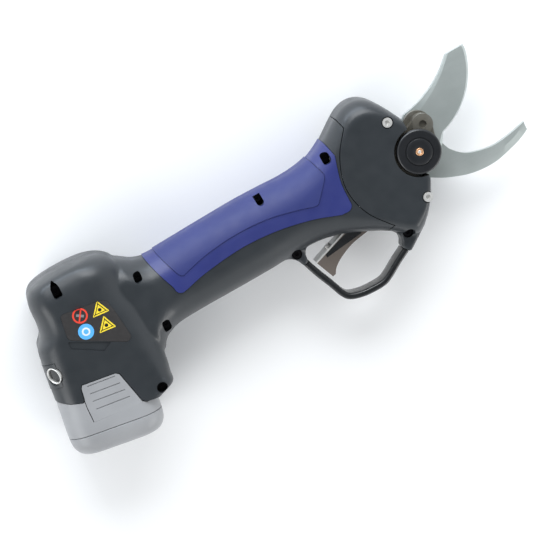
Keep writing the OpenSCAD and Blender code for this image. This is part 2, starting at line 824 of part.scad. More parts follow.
board_y = 23.6;
module controller_board() {
    color([0.1, 0.32, 0.18]) raised() in_battery_frame() union() {
        translate([-14, board_y, -17]) cube([32, 1.6, 34]);
        for (z = [-12, 12], x = [-9, 3]) translate([x, board_y + 1.5, z]) rotate([-90, 0, 0])
            cylinder(r = 3.6, h = 6);
        for (z = [-6:4:6]) translate([10, board_y + 1.5, z - 1.5]) cube([6, 2.4, 3]);
        translate([-4, board_y + 1.5, -5]) cube([8, 1.2, 10]);
    }
}

module socket_contacts() {
    block_y = stem_top + 0.8;
    color(black) raised() in_battery_frame() union() {
        translate([stem_mid - 12, block_y, -9]) cube([24, board_y - block_y, 18]);
        for (x = contact_at) translate([x - 2, block_y - 0.5, -0.8]) cube([4, 1, 1.6]);
    }
}

// ---- Battery ----

module whole_foot(inset, low) {
    in_battery_frame() loft(foot_rows, inset, low, 5);
}

module both_sides() {
    children();
    left_side() children();
}

module stem_box(inset, y0, y1) {
    translate([stem_mid, y0, 0]) rotate([-90, 0, 0]) linear_extrude(y1 - y0)
        offset(stem_round - inset) square(2 * (stem_half - stem_round), center = true);
}

module battery_case() {
    color(battery_grey) raised() one_skin() difference() {
        union() {
            both_sides() difference() {
                intersection() {
                    whole_foot(0, 0);
                    tall(battery_zone(move_gap), 0, 40);
                }
                tall(latch_zone(0), 20.8, 40);
            }
            in_battery_frame() stem_box(0, -40, stem_top);
        }
        in_battery_frame() translate([-60, -80, -60]) cube([120, 80 + foot_split, 120]);
        in_battery_frame() stem_box(case_wall, -60, stem_top - end_wall);
        in_battery_frame() for (x = contact_at) translate([x, stem_top - 3, 0])
            rotate([-90, 0, 0]) cylinder(r = contact_r + 0.2, h = 9);
    }
}

module battery_base() {
    color(battery_grey) raised() one_skin() difference() {
        intersection() {
            both_sides() whole_foot(0, 0);
            in_battery_frame() translate([-60, -80, -60]) cube([120, 80 + foot_split, 120]);
        }
        in_battery_frame() stem_box(case_wall, foot_bottom + end_wall, 0);
        both_sides() tall(latch_zone(0), 20.8, 40);
    }
}

module battery_latch() {
    union() {
        intersection() {
            whole_foot(0, 0);
            tall(latch_zone(-move_gap), 22.4, 40);
            tall(battery_zone(move_gap), 0, 40);
        }
        translate([-208.4, -26, 21.7]) cube([14, 10.6, 0.9]);
    }
}

module battery_latch_right() {
    color(battery_grey) raised() one_skin() battery_latch();
}

module battery_latch_left() {
    color(battery_grey) raised() left_side() one_skin() battery_latch();
}

module battery_cells() {
    s = cell_r + 0.15;
    color([0.2, 0.45, 0.3]) raised() in_battery_frame() for (x = [-s, s], z = [-s, s])
        translate([stem_mid + x, foot_bottom + end_wall, z]) rotate([-90, 0, 0])
            cylinder(r = cell_r, h = cell_len);
}

module battery_terminals() {
    color([0.85, 0.7, 0.4]) raised() in_battery_frame() for (x = contact_at)
        translate([x, stem_top - end_wall, 0]) rotate([-90, 0, 0])
            cylinder(r = contact_r, h = end_wall);
}

// ---- Trigger ----

eye_r = 4;
eye_from = 110;
lever_corner = [-73.4, -27.4];
lever_outline = concat(arc(trigger_axis, eye_r, eye_from, -30, 6),
    spline([[-42, -25.6], [-52, -27.4], [-60, -30.6], [-65.2, -34], [-67.6, -37.2]], 4),
    [[-69.4, -37.6], lever_corner]);
core_outline = [[-67.4, -27.3], [-67.4, -25.5], [-46, -18.9], [-45.4, -24.9]];

module trigger_lever() {
    color(trigger_brown) raised() difference() {
        tall(lever_outline, -trigger_half_w, trigger_half_w);
        both_sides() tall(core_outline, trigger_half_w - 2, trigger_half_w + 1);
        pin_z(trigger_axis, trigger_pin_r + run_gap, -10, 10);
        pin_z([trigger_axis[0], trigger_axis[1]], 4.6, -2, 2);
        on_leaf() translate([10, -5, 0]) rotate([-90, 0, 0]) cylinder(r = 1, h = 10);
    }
}

module trigger_core() {
    color(black) raised() both_sides()
        tall(core_outline, trigger_half_w - 2, trigger_half_w);
}

// The strip on the trigger's back runs from its rear corner to the eye
eye_point = trigger_axis + eye_r * [cos(eye_from), sin(eye_from)];
leaf_turn = atan2(eye_point[1] - lever_corner[1], eye_point[0] - lever_corner[0]);
module on_leaf() {
    translate([lever_corner[0], lever_corner[1], 0]) rotate(leaf_turn) children();
}

module trigger_leaf() {
    color([0.85, 0.85, 0.83]) raised() difference() {
        on_leaf() translate([0, 0, -trigger_half_w]) cube([25, 0.8, 2 * trigger_half_w]);
        on_leaf() translate([10, -5, 0]) rotate([-90, 0, 0]) cylinder(r = 1, h = 10);
    }
}

module leaf_screw() {
    color(steel) raised() on_leaf() union() {
        translate([10, -2.4, 0]) rotate([-90, 0, 0]) cylinder(r = 1, h = 3.2);
        translate([10, 0.8, 0]) rotate([-90, 0, 0]) cylinder(r = 2, h = 1.1);
    }
}

module trigger_pin() {
    color(steel) raised() pin_z(trigger_axis, trigger_pin_r, -11.9, 11.9);
}

module trigger_spring() {
    color(steel) raised() difference() {
        union() {
            for (k = [-1:1]) pin_z(trigger_axis, 3, k * 1.2 - 0.45, k * 1.2 + 0.45);
            for (k = [0:1]) pin_z(trigger_axis, 2.7, k * 1.2 - 0.8, k * 1.2 - 0.4);
            translate([trigger_axis[0], trigger_axis[1] + 2.2, 0.75]) rotate(65)
                cube([4.5, 0.8, 0.9]);
        }
        pin_z(trigger_axis, trigger_pin_r, -10, 10);
    }
}

module trigger_switch() {
    color(black) raised() union() {
        translate([-36, -24.6, -3.8]) cube([6.4, 9, 7.6]);
        translate([-36.5, -20, -1.5]) cube([0.6, 2, 3]);
    }
}

// ---- Fasteners ----

module cap_screw(at, r, tip, seat, head_r, head_h) {
    difference() {
        union() {
            pin_z(at, r, tip, seat);
            pin_z(at, head_r, seat, seat + head_h);
        }
        translate([at[0], at[1], seat + head_h - 1]) cylinder(r = head_r / 2, h = 3, $fn = 6);
    }
}

module housing_screws() {
    color(black) raised() {
        for (s = screws) cap_screw(s, s[5], s[4], s[2], s[5] * 1.8, s[5] * 1.2);
        for (g = guard_screws) cap_screw(g, 1.4, -5, 4.5, 2.6, 1.6);
    }
}

module head_screws() {
    color(steel) raised() {
        for (p = head_screw_at) cap_screw(p, 1.6, -12, grip_half_w - 2.6, 2.6, 2.2);
        for (y = [-9, 7]) left_side() cap_screw([-14.5, y], 2, blade_gap + 0.1, 12, 3.4, 2);
    }
}

right_housing();
left_housing();
head_cover_right();
head_cover_left();
grip_cover_right();
grip_cover_left();
grip_pad_right();
grip_pad_left();
trigger_guard();
label_plate();
rear_bezel();
button_ring();
power_button();
moving_blade();
fixed_blade();
sector_gear();
drive_pin();
pivot_bush();
pivot_bolt();
pivot_nut();
thrust_washer();
pivot_disc();
disc_ferrule();
pivot_cap_left();
gear_case();
gearbox_case();
ring_gear();
planet_carrier();
planet_pins();
planet_gear_1();
planet_gear_2();
planet_gear_3();
output_shaft();
drive_pinion();
shaft_bearings();
motor_mount();
motor_can();
motor_stator();
motor_rotor();
motor_shaft();
motor_bearings();
sun_gear();
motor_leads();
controller_board();
socket_contacts();
battery_case();
battery_base();
battery_latch_right();
battery_latch_left();
battery_cells();
battery_terminals();
trigger_lever();
trigger_core();
trigger_leaf();
leaf_screw();
trigger_pin();
trigger_spring();
trigger_switch();
housing_screws();
head_screws();
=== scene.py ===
"""Looks of the battery electric pruner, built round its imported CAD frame."""

import json
import math

import bmesh
import bpy
import numpy as np
from mathutils import Matrix, Vector


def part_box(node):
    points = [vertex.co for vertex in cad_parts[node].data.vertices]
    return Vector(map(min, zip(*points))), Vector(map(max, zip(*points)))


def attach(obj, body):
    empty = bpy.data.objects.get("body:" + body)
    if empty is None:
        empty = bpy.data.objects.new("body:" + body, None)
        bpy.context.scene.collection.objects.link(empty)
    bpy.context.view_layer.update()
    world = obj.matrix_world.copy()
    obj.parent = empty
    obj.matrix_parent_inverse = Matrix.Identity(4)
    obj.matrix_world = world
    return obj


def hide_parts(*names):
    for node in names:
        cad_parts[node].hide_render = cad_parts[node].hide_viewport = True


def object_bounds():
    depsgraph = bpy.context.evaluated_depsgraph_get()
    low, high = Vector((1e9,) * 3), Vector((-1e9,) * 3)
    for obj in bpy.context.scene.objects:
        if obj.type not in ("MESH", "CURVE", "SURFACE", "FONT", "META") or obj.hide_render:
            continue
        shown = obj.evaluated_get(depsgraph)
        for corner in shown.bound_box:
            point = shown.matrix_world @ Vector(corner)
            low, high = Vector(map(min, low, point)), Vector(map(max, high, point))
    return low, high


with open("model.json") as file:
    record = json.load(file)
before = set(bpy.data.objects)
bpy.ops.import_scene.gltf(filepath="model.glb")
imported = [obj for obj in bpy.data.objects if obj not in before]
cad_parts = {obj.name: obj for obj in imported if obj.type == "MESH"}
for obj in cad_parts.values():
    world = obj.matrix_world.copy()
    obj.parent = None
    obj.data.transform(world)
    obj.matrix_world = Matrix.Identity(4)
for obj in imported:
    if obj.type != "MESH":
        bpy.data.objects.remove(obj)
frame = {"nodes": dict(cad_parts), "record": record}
cad_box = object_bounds()

# ---- Sizes, in millimetres from the pivot axis and the middle plane ----

MM = 0.001
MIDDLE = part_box("right_housing")[0].z / MM
BODY_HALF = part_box("right_housing")[1].z / MM - MIDDLE
GRIP_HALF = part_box("head_cover_right")[1].z / MM - MIDDLE
GUARD_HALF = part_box("trigger_guard")[1].z / MM - MIDDLE
TRIGGER_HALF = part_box("trigger_lever")[1].z / MM - MIDDLE
BLADE_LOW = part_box("moving_blade")[0].z / MM - MIDDLE
BLADE_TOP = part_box("moving_blade")[1].z / MM - MIDDLE
HOOK_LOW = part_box("fixed_blade")[0].z / MM - MIDDLE
HOOK_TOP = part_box("fixed_blade")[1].z / MM - MIDDLE
DISC_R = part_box("pivot_disc")[1].x / MM
DISC_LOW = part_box("pivot_disc")[0].z / MM - MIDDLE
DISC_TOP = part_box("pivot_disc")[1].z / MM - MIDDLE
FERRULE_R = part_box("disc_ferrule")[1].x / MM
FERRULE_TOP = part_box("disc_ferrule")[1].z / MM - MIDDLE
WALL = 3
SHOULDER = 19
COVER_T = 1.4
SEAM = 0.2
PROUD = 0.45
HUB_R = 13
BATTERY_AT = (-199, -10)
BATTERY_LEAN = math.radians(-10)
FOOT_HALF = 25.4
FOOT_SPLIT = -36.5
VOXEL = 0.8
FAR = 60  # beyond any surface, up or down
EVERYWHERE = [(-260, -90), (FAR, -90), (FAR, 90), (-260, 90)]  # an outline round the whole tool
SCREW_POCKET_R = 2.9
GUARD_SCREW_SEAT = 4.5
LABEL_DEPTH = 1.1
SHADE_DEPTH = 0.55

# Section rows of the grip and head: bottom x, y, top x, y, half width, bottom, top, side rounding
GRIP_ROWS = [
    (-174, -20, -174, 27, 21.5, 16, 15, 17),
    (-165, -27, -165, 27.5, 21, 15, 14, 16.5),
    (-161, -23, -161, 25.2, 20.6, 14, 14, 16),
    (-156, -20.2, -156, 22, 20.1, 15, 15, 16),
    (-149, -18.8, -149, 20.3, GRIP_HALF, 17, 16, 16),
    (-135, -18.4, -135, 20.6, GRIP_HALF - 0.4, 17, 17, 16),
    (-115, -18.4, -115, 21.2, GRIP_HALF - 0.4, 17, 17, 16),
    (-95, -18.2, -95, 21.6, GRIP_HALF - 0.4, 17, 17, 16),
    (-80, -17.4, -80, 21.2, GRIP_HALF - 0.3, 17, 17, 16),
    (-68, -17.4, -68, 20.6, GRIP_HALF - 0.2, 16, 16, 15),
    (-58, -19.2, -58, 21.2, GRIP_HALF, 15, 15, 14.5),
    (-50, -22, -50, 23, GRIP_HALF, 14, 14, 14),
    (-42, -25.6, -42, 26.8, GRIP_HALF, 12, 12.5, 13.5),
    (-35, -29.2, -36, 30.8, GRIP_HALF, 10, 11, 13),
    (-29, -33, -30, 34.8, GRIP_HALF, 9, 10, 12),
    (-23.5, -37.2, -25, 37.6, GRIP_HALF, 8.5, 9.5, 12),
    (-19.5, -39.2, -20, 38.8, GRIP_HALF, 8, 9.5, 12),
    (-15.5, -37.2, -15, 38.2, GRIP_HALF, 7.5, 9.5, 12),
    (-11, -33, -10.5, 35.6, GRIP_HALF, 6, 9, 12),
    (-7.5, -28.5, -6.5, 31, GRIP_HALF, 5, 8, 12),
    (-4, -22.5, -3, 25.2, GRIP_HALF, 4, 7, 11),
    (-1, -16.5, 0.4, 18.6, GRIP_HALF - 0.6, 3, 4, 8),
]
BEYOND_FRONT = (4, -16.5, 6, 18.6, GRIP_HALF, 3, 4, 8)
HEAD_FIRST_ROW = 10

# Section rows of the battery housing, from the top down
HOUSE_ROWS = [
    (-199, 37.6, -188, 37.6, 10, 5, 5, 7),
    (-204, 36.7, -182.5, 36.7, 16.5, 8, 9, 10),
    (-209.5, 35.6, -175.5, 35.6, 20.5, 9, 13, 13),
    (-212.6, 33.2, -170, 33.2, 23, 9, 16, 15),
    (-214.4, 29.4, -165.8, 29.4, 24.8, 10, 18, 16),
    (-215.2, 25, -164, 25, 25.8, 11, 20, 16),
    (-215.6, 19, -163, 19, BODY_HALF, 12, 22, 17),
    (-216.8, 13, -163, 13, BODY_HALF, 12, 22, 17),
    (-218.4, 9.6, -163, 9.6, BODY_HALF, 12, 22, 16),
    (-221.4, 6.4, -163, 6.4, BODY_HALF, 12, 21, 15),
    (-222.6, 3, -163, 3, BODY_HALF, 12, 20, 14),
    (-224.2, -6, -163.5, -6, BODY_HALF, 12, 18, 13),
    (-226.6, -20, -164.5, -20, BODY_HALF, 12, 14, 12),
    (-228.2, -30, -165.8, -30, BODY_HALF, 12, 10, 12),
    (-229.6, -37, -167.4, -37, BODY_HALF, 12, 7, 12),
    (-230, -41.4, -168.2, -41.4, BODY_HALF, 12, 6, 12),
    (-230, -43, -172.6, -43, BODY_HALF - 0.2, 12, 6, 12),
    (-230, -46.5, -182, -46.5, BODY_HALF - 0.6, 12, 6, 11),
]

# Section rows of the battery foot, in the battery's own leaning frame
FOOT_ROWS = [
    (-FOOT_HALF + 0.9, 0, FOOT_HALF, 0, BODY_HALF, 12, 12, 12),
    (-FOOT_HALF + 0.2, -20, FOOT_HALF, -20, BODY_HALF, 12, 12, 12),
    (-FOOT_HALF, -34, FOOT_HALF, -34, BODY_HALF, 12, 12, 12),
    (-FOOT_HALF + 0.4, -40.5, FOOT_HALF - 0.3, -40.5, BODY_HALF - 0.3, 12, 12, 12),
    (-FOOT_HALF + 1.8, -44.4, FOOT_HALF - 1.6, -44.4, BODY_HALF - 1.7, 11.5, 11.5, 11.5),
    (-FOOT_HALF + 4.4, -47.1, FOOT_HALF - 4.2, -47.1, BODY_HALF - 4.2, 10, 10, 10),
    (-FOOT_HALF + 8, -48.2, FOOT_HALF - 8, -48.2, BODY_HALF - 8, 8, 8, 8),
]

# ---- Lines and outlines ----


def spline(points, steps):
    """A smooth line through points or rows, with this many steps between neighbours."""
    p = [np.array(q, float) for q in points]
    line = []
    for i in range(len(p) - 1):
        a, b, c, d = p[max(i - 1, 0)], p[i], p[i + 1], p[min(i + 2, len(p) - 1)]
        for j in range(steps):
            t = j / steps
            cubic = 3 * b - 3 * c + d - a
            line.append(0.5 * (2 * b + (c - a) * t + (2 * a - 5 * b + 4 * c - d) * t**2 + cubic * t**3))
    return line + [p[-1]]


def arc(centre, radius, start, end, steps=12):
    """Points on an arc, with angles in degrees."""
    turns = [math.radians(start + (end - start) * i / steps) for i in range(steps + 1)]
    return [(centre[0] + radius * math.cos(t), centre[1] + radius * math.sin(t)) for t in turns]


def circle(centre, radius, steps=40):
    return arc(centre, radius, 0, 360, steps)[:-1]


def inset(outline, gap):
    """The outline moved inwards by gap."""
    p = [np.array(q[:2], float) for q in outline]
    following = p[1:] + p[:1]
    area = sum(a[0] * b[1] - b[0] * a[1] for a, b in zip(p, following))
    turn = 1 if area > 0 else -1
    moved = []
    for i, q in enumerate(p):
        sides = [q - p[i - 1], p[(i + 1) % len(p)] - q]
        normals = [turn * np.array((-s[1], s[0])) / max(np.linalg.norm(s), 1e-9) for s in sides]
        middle = normals[0] + normals[1]
        moved.append(q + middle * 2 * gap / max(middle @ middle, 1))
    return moved


def rounded(outline, radius, steps=5):
    """The outline with each corner rounded."""
    p = [np.array(q, float) for q in outline]
    line = []
    for i, q in enumerate(p):
        before, after = p[i - 1] - q, p[(i + 1) % len(p)] - q
        reach = min(radius, np.linalg.norm(before) / 2.2, np.linalg.norm(after) / 2.2)
        start = q + before / np.linalg.norm(before) * reach
        end = q + after / np.linalg.norm(after) * reach
        for j in range(steps + 1):
            t = j / steps
            line.append((1 - t) ** 2 * start + 2 * t * (1 - t) * q + t**2 * end)
    return line


HEAD_SEAM = [(-28.8, 30), (-37, 19.5), (-42, 7), (-42.4, -4), (-38.6, -15.5), (-31, -26)]
HEAD_ZONE = (
    [(-30.8, 50), (-30.5, 38)]
    + [tuple(q) for q in spline(HEAD_SEAM, 8)]
    + [(-29.6, -27.6), (-33.4, -29), (-36, -50), (20, -50), (20, 50)]
)
HEAD_FRONT = [(-60, -60), (-2.8, -60), (2, 60), (-60, 60)]
BLUE_EDGE = [(-139, -3.2), (-126, -0.4), (-105, 1.6), (-85, 0.4), (-66, -3.6), (-51, -9)]
BLUE_ZONE = (
    [(-154.5, 40)]
    + [tuple(q) for q in spline([(-152, 24), (-148.8, 12), (-145, 1)], 8)]
    + arc((-141.4, 0), 3.6, 180, 270, 8)
    + [tuple(q) for q in spline(BLUE_EDGE, 8)]
    + arc((-47.4, -5.4), 3.8, 260, 345, 8)
    + [tuple(q) for q in spline([(-43.6, 2), (-42.6, 9), (-39.3, 20)], 6)]
    + [(-41.6, 32), (-42.4, 40)]
)
PAD_ZONE = (
    [(-146.6, 40)]
    + [tuple(q) for q in spline([(-145, 22), (-142, 12.5), (-139.6, 6)], 8)]
    + arc((-137.2, 6.4), 2.2, 200, 280, 6)
    + [tuple(q) for q in spline([(-134, 5), (-121, 7.8), (-104, 9.2), (-86, 8.2), (-70, 4.6), (-62, 2)], 8)]
    + arc((-59.8, 4), 2.2, 260, 320, 6)
    + [(-50.6, 11), (-49.4, 12.6), (-48.9, 14.6), (-52.2, 25.4), (-53, 40)]
)
REAR_BOSS = [(-92, -14), (-87.5, -17.4), (-84.6, -18.4), (-82.4, -20.2), (-80.9, -22.6), (-80.1, -25.4),
             (-76.8, -24.6), (-76.6, -20.6), (-75.4, -18.2), (-72, -14.6)]
FRONT_BOSS = [(-34, -27), (-33.2, -29.4), (-30.4, -32.4), (-28.2, -36), (-28.6, -39.6), (-30.6, -42.4),
              (-27.3, -46.6), (-19.7, -41.4), (-12.6, -36.4), (-16, -28)]
BEZEL_ZONE = [(-240, -0.6), (-217, -1.6), (-219, -14.6), (-240, -13.4)]


def battery_zone(gap):
    """Everything below the edge where the battery foot meets the housing."""
    edge = [(-245, -19 - gap), (-226.8, -20.4 - gap), (-220.5, -24.2 - gap), (-214.4 + gap, -26.8 - gap),
            (-213.2 + gap, -25.6 - gap), (-211.9 + gap, -19.8 - gap), (-210.4, -18.2 - gap),
            (-192.6, -21.2 - gap), (-190.6 - gap, -22.6 - gap), (-187.3 - gap, -40.6 - gap),
            (-185.4 - gap, -42.6 - gap), (-178.6, -44 - gap), (-172, -47 - gap)]
    return edge + [(-172, -75), (-245, -75)]


def latch_zone(gap):
    """The latch tongue inside that edge."""
    rear = [(-214 - gap, -30), (-211.8 - gap, -17)]
    front = [(-190 + gap, -20), (-187.2 + gap, -41.6)]
    return rear + front + [(-214.6 - gap, -38.4)]


# ---- Mesh building ----


def link(mesh_name, mesh):
    obj = bpy.data.objects.new(mesh_name, mesh)
    bpy.context.scene.collection.objects.link(obj)
    return obj


def solid(name, points, faces):
    """A mesh object from points in millimetres."""
    mesh = bpy.data.meshes.new(name)
    mesh.from_pydata([(x * MM, y * MM, (z + MIDDLE) * MM) for x, y, z in points], [], faces)
    shape = bmesh.new()
    shape.from_mesh(mesh)
    bmesh.ops.remove_doubles(shape, verts=shape.verts, dist=1e-7)
    bmesh.ops.recalc_face_normals(shape, faces=shape.faces)
    shape.to_mesh(mesh)
    shape.free()
    return link(name, mesh)


def stacked(name, rings, capped=True):
    """A skin through rings with the same number of points."""
    m = len(rings[0])
    faces = []
    for i in range(len(rings) - 1):
        for j in range(m):
            a, b = i * m + j, i * m + (j + 1) % m
            faces.append((a, b, b + m, a + m))
    if capped:
        faces.append(tuple(range(m)))
        faces.append(tuple((len(rings) - 1) * m + j for j in range(m)))
    return solid(name, [p for ring in rings for p in ring], faces)


def section(row, gap, steps):
    """A whole rounded section between the row's two points, gap inside the surface."""
    a, b = np.array(row[0:2], float), np.array(row[2:4], float)
    length = np.linalg.norm(b - a)
    along = (b - a) / length
    half = row[4] - gap
    side = max(row[7] - gap, 1)
    near, far = max(row[5] - gap, 1), max(row[6] - gap, 1)
    quarter = [(1 - math.cos(t), math.sin(t)) for t in np.linspace(0, math.pi / 2, steps + 1)]
    upper = [(gap + near * x, half - side + side * z) for x, z in quarter]
    upper += [(length - gap - far * x, half - side + side * z) for x, z in reversed(quarter)]
    whole = upper + [(x, -z) for x, z in reversed(upper)]
    return [(*(a + along * x), z) for x, z in whole]


def leaning(points):
    """Points of the battery's own frame, placed in the tool's."""
    c, s = math.cos(BATTERY_LEAN), math.sin(BATTERY_LEAN)
    return [(BATTERY_AT[0] + x * c - y * s, BATTERY_AT[1] + x * s + y * c, z) for x, y, z in points]


def loft(name, rows, gap=0, fine=6, steps=14):
    """A solid through section rows, gap inside their surface."""
    return stacked(name, [section(r, gap, steps) for r in spline(rows, fine)])


def prism(name, outline, z0=-FAR, z1=FAR):
    """An upright solid with this outline between two heights."""
    return stacked(name, [[(p[0], p[1], z) for p in outline] for z in (z0, z1)])


def turned(name, centre, profile, steps=96):
    """A solid of revolution about an upright axis; the profile is radius and height."""
    rings = []
    for i in range(steps):
        t = 2 * math.pi * i / steps
        rings.append([(centre[0] + r * math.cos(t), centre[1] + r * math.sin(t), z) for r, z in profile])
    return stacked(name, rings + rings[:1], capped=False)


def settle(obj):
    """Applies every modifier of obj."""
    graph = bpy.context.evaluated_depsgraph_get()
    made = bpy.data.meshes.new_from_object(obj.evaluated_get(graph))
    obj.modifiers.clear()
    old = obj.data
    obj.data = made
    bpy.data.meshes.remove(old)
    return obj


def join_by(obj, other, operation):
    """Combines obj with another solid, which is used up."""
    m = obj.modifiers.new("combine", "BOOLEAN")
    m.operation = operation
    m.solver = "MANIFOLD"
    m.object = other
    settle(obj)
    remove(other)
    return obj


def remove(obj):
    mesh = obj.data
    bpy.data.objects.remove(obj)
    bpy.data.meshes.remove(mesh)


def cut(obj, *cutters):
    """Takes each cutter's space out of obj."""
    for c in cutters:
        join_by(obj, c, "DIFFERENCE")
    return obj


def keep(obj, *holders):
    """Leaves only what lies inside every holder."""
    for c in holders:
        join_by(obj, c, "INTERSECT")
    return obj


def duplicate(obj, name):
    """A copy of obj with a mesh of its own."""
    copy = obj.copy()
    copy.data = obj.data.copy()
    copy.name = name
    bpy.context.scene.collection.objects.link(copy)
    return copy


def blended(name, parts, rounds=9):
    """One smooth solid from overlapping ones, with its creases eased."""
    whole = bmesh.new()
    for p in parts:
        whole.from_mesh(p.data)
        remove(p)
    mesh = bpy.data.meshes.new(name)
    whole.to_mesh(mesh)
    whole.free()
    obj = link(name, mesh)
    remesh = obj.modifiers.new("remesh", "REMESH")
    remesh.mode = "VOXEL"
    remesh.voxel_size = VOXEL * MM
    smooth = obj.modifiers.new("ease", "SMOOTH")
    smooth.factor = 0.5
    smooth.iterations = rounds
    return settle(obj)


def sided(side, low, high):
    """Heights from low to high on the right side, or their mirror image on the left."""
    return (low, high) if side > 0 else (-high, -low)


def half(obj, name, side):
    """The part of obj on one side of the middle plane; side is 1 for the right."""
    return keep(duplicate(obj, name), prism("half", EVERYWHERE, *sided(side, SEAM / 2, FAR)))


def eased(obj, width, segments=3, angle=35):
    """Rounds obj's sharp edges; width is in millimetres."""
    m = obj.modifiers.new("eased", "BEVEL")
    m.width = width * MM
    m.segments = segments
    m.limit_method = "ANGLE"
    m.angle_limit = math.radians(angle)
    m.harden_normals = False
    return obj


def smooth_shaded(obj, angle=32):
    obj.data.shade_smooth()
    obj.data.set_sharp_from_angle(angle=math.radians(angle))
    return obj


def piece(obj, body, slot, look, *nodes, angle=32):
    """Makes obj a shown piece that rides on a body and stands for CAD nodes."""
    smooth_shaded(obj, angle)
    obj.data.materials.clear()
    obj.data.materials.append(look)
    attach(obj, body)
    if nodes:
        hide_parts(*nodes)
    return obj


# ---- Materials ----


class Look:
    """A material's node tree, with short calls to add nodes."""

    def __init__(self, name, metallic=0.0, coat=0.0, sheen=0.0, level=0.5):
        self.material = bpy.data.materials.new(name)
        self.material.use_nodes = True
        self.tree = self.material.node_tree
        self.shader = self.tree.nodes["Principled BSDF"]
        self.shader.inputs["Metallic"].default_value = metallic
        self.shader.inputs["Coat Weight"].default_value = coat
        self.shader.inputs["Coat Roughness"].default_value = 0.25
        self.shader.inputs["Sheen Weight"].default_value = sheen
        self.shader.inputs["Specular IOR Level"].default_value = level
        self.place = self.tree.nodes.new("ShaderNodeTexCoord").outputs["Object"]

    def join(self, source, target):
        self.tree.links.new(source, target)

    def stretched(self, scale, turn=0.0):
        node = self.tree.nodes.new("ShaderNodeMapping")
        node.inputs["Scale"].default_value = scale
        node.inputs["Rotation"].default_value = (0, 0, turn)
        self.join(self.place, node.inputs["Vector"])
        return node.outputs["Vector"]

    def noise(self, scale, detail=3.0, place=None, roughness=0.5):
        node = self.tree.nodes.new("ShaderNodeTexNoise")
        node.inputs["Scale"].default_value = scale
        node.inputs["Detail"].default_value = detail
        node.inputs["Roughness"].default_value = roughness
        self.join(place or self.place, node.inputs["Vector"])
        return node.outputs["Fac"]

    def spread(self, source, low, high, start=0.0, end=1.0):
        node = self.tree.nodes.new("ShaderNodeMapRange")
        node.inputs["From Min"].default_value = start
        node.inputs["From Max"].default_value = end
        node.inputs["To Min"].default_value = low
        node.inputs["To Max"].default_value = high
        self.join(source, node.inputs["Value"])
        return node.outputs["Result"]

    def scaled(self, source, amount):
        node = self.tree.nodes.new("ShaderNodeMath")
        node.operation = "MULTIPLY"
        node.inputs[1].default_value = amount
        self.join(source, node.inputs[0])
        return node.outputs["Value"]

    def cells(self, scale):
        node = self.tree.nodes.new("ShaderNodeTexVoronoi")
        node.inputs["Scale"].default_value = scale
        self.join(self.place, node.inputs["Vector"])
        return node.outputs["Distance"]

    def mix(self, amount, first, second):
        node = self.tree.nodes.new("ShaderNodeMix")
        node.data_type = "RGBA"
        self.join(amount, node.inputs["Factor"])
        for value, target in ((first, node.inputs["A"]), (second, node.inputs["B"])):
            if isinstance(value, tuple):
                target.default_value = (*value, 1)
            else:
                self.join(value, target)
        return node.outputs["Result"]

    def bump(self, source, depth, before=None):
        """Adds relief; depth is in millimetres."""
        node = self.tree.nodes.new("ShaderNodeBump")
        node.inputs["Strength"].default_value = 1
        node.inputs["Distance"].default_value = depth * MM
        self.join(source, node.inputs["Height"])
        if before:
            self.join(before, node.inputs["Normal"])
        return node.outputs["Normal"]

    def finish(self, colour, roughness, normal=None):
        self.join(colour, self.shader.inputs["Base Color"])
        self.join(roughness, self.shader.inputs["Roughness"])
        if normal:
            self.join(normal, self.shader.inputs["Normal"])
        return self.material

    def edges(self, low=0.52, high=0.6):
        """How far a point lies on an outer edge."""
        node = self.tree.nodes.new("ShaderNodeNewGeometry")
        return self.spread(node.outputs["Pointiness"], 0.0, 1.0, low, high)


def tint(colour, amount):
    return tuple(min(1.0, c * amount) for c in colour)


def plastic(name, colour, roughness=0.42, grain=0.006, coat=0.0, sheen=0.0, wear=0.25, level=0.5):
    """Moulded plastic with a spark-eroded grain, faint mottling and rubbed edges."""
    look = Look(name, coat=coat, sheen=sheen, level=level)
    cloud = look.spread(look.noise(38, 4), 0.0, 1.0, 0.3, 0.7)
    base = look.mix(cloud, tint(colour, 0.93), tint(colour, 1.07))
    rubbed = look.scaled(look.edges(0.53, 0.68), wear)
    base = look.mix(rubbed, base, tint(colour, 1.7))
    gloss = look.spread(look.noise(150, 3), roughness - 0.05, roughness + 0.05, 0.3, 0.7)
    fine = look.bump(look.noise(2600, 2), grain)
    normal = look.bump(look.noise(420, 2), grain * 1.2, fine)
    return look.finish(base, gloss, normal)


def rubber(name, colour, roughness=0.55):
    """Soft-touch rubber with a fine dimpled skin."""
    look = Look(name, sheen=0.04, level=0.35)
    cloud = look.spread(look.noise(30, 4), 0.0, 1.0, 0.3, 0.7)
    base = look.mix(cloud, tint(colour, 0.94), tint(colour, 1.06))
    gloss = look.spread(look.noise(200, 3), roughness - 0.06, roughness + 0.06, 0.3, 0.7)
    return look.finish(base, gloss, look.bump(look.cells(2100), 0.012))


def metal(name, colour, roughness=0.32, streak=(90, 1500, 90), stain=None, wear=0.3, depth=0.003, shine=1):
    """Ground or machined metal with fine streaks, blotches and brighter edges."""
    look = Look(name, metallic=shine)
    lines = look.noise(1, 4, look.stretched(streak), 0.6)
    blotch = look.spread(look.noise(120, 5), 0.0, 1.0, 0.42, 0.7)
    base = look.mix(blotch, colour, stain or tint(colour, 0.82))
    rubbed = look.scaled(look.edges(0.51, 0.58), wear)
    base = look.mix(rubbed, base, tint(colour, 1.5))
    gloss = look.spread(lines, roughness - 0.08, roughness + 0.1, 0.3, 0.7)
    return look.finish(base, gloss, look.bump(lines, depth))


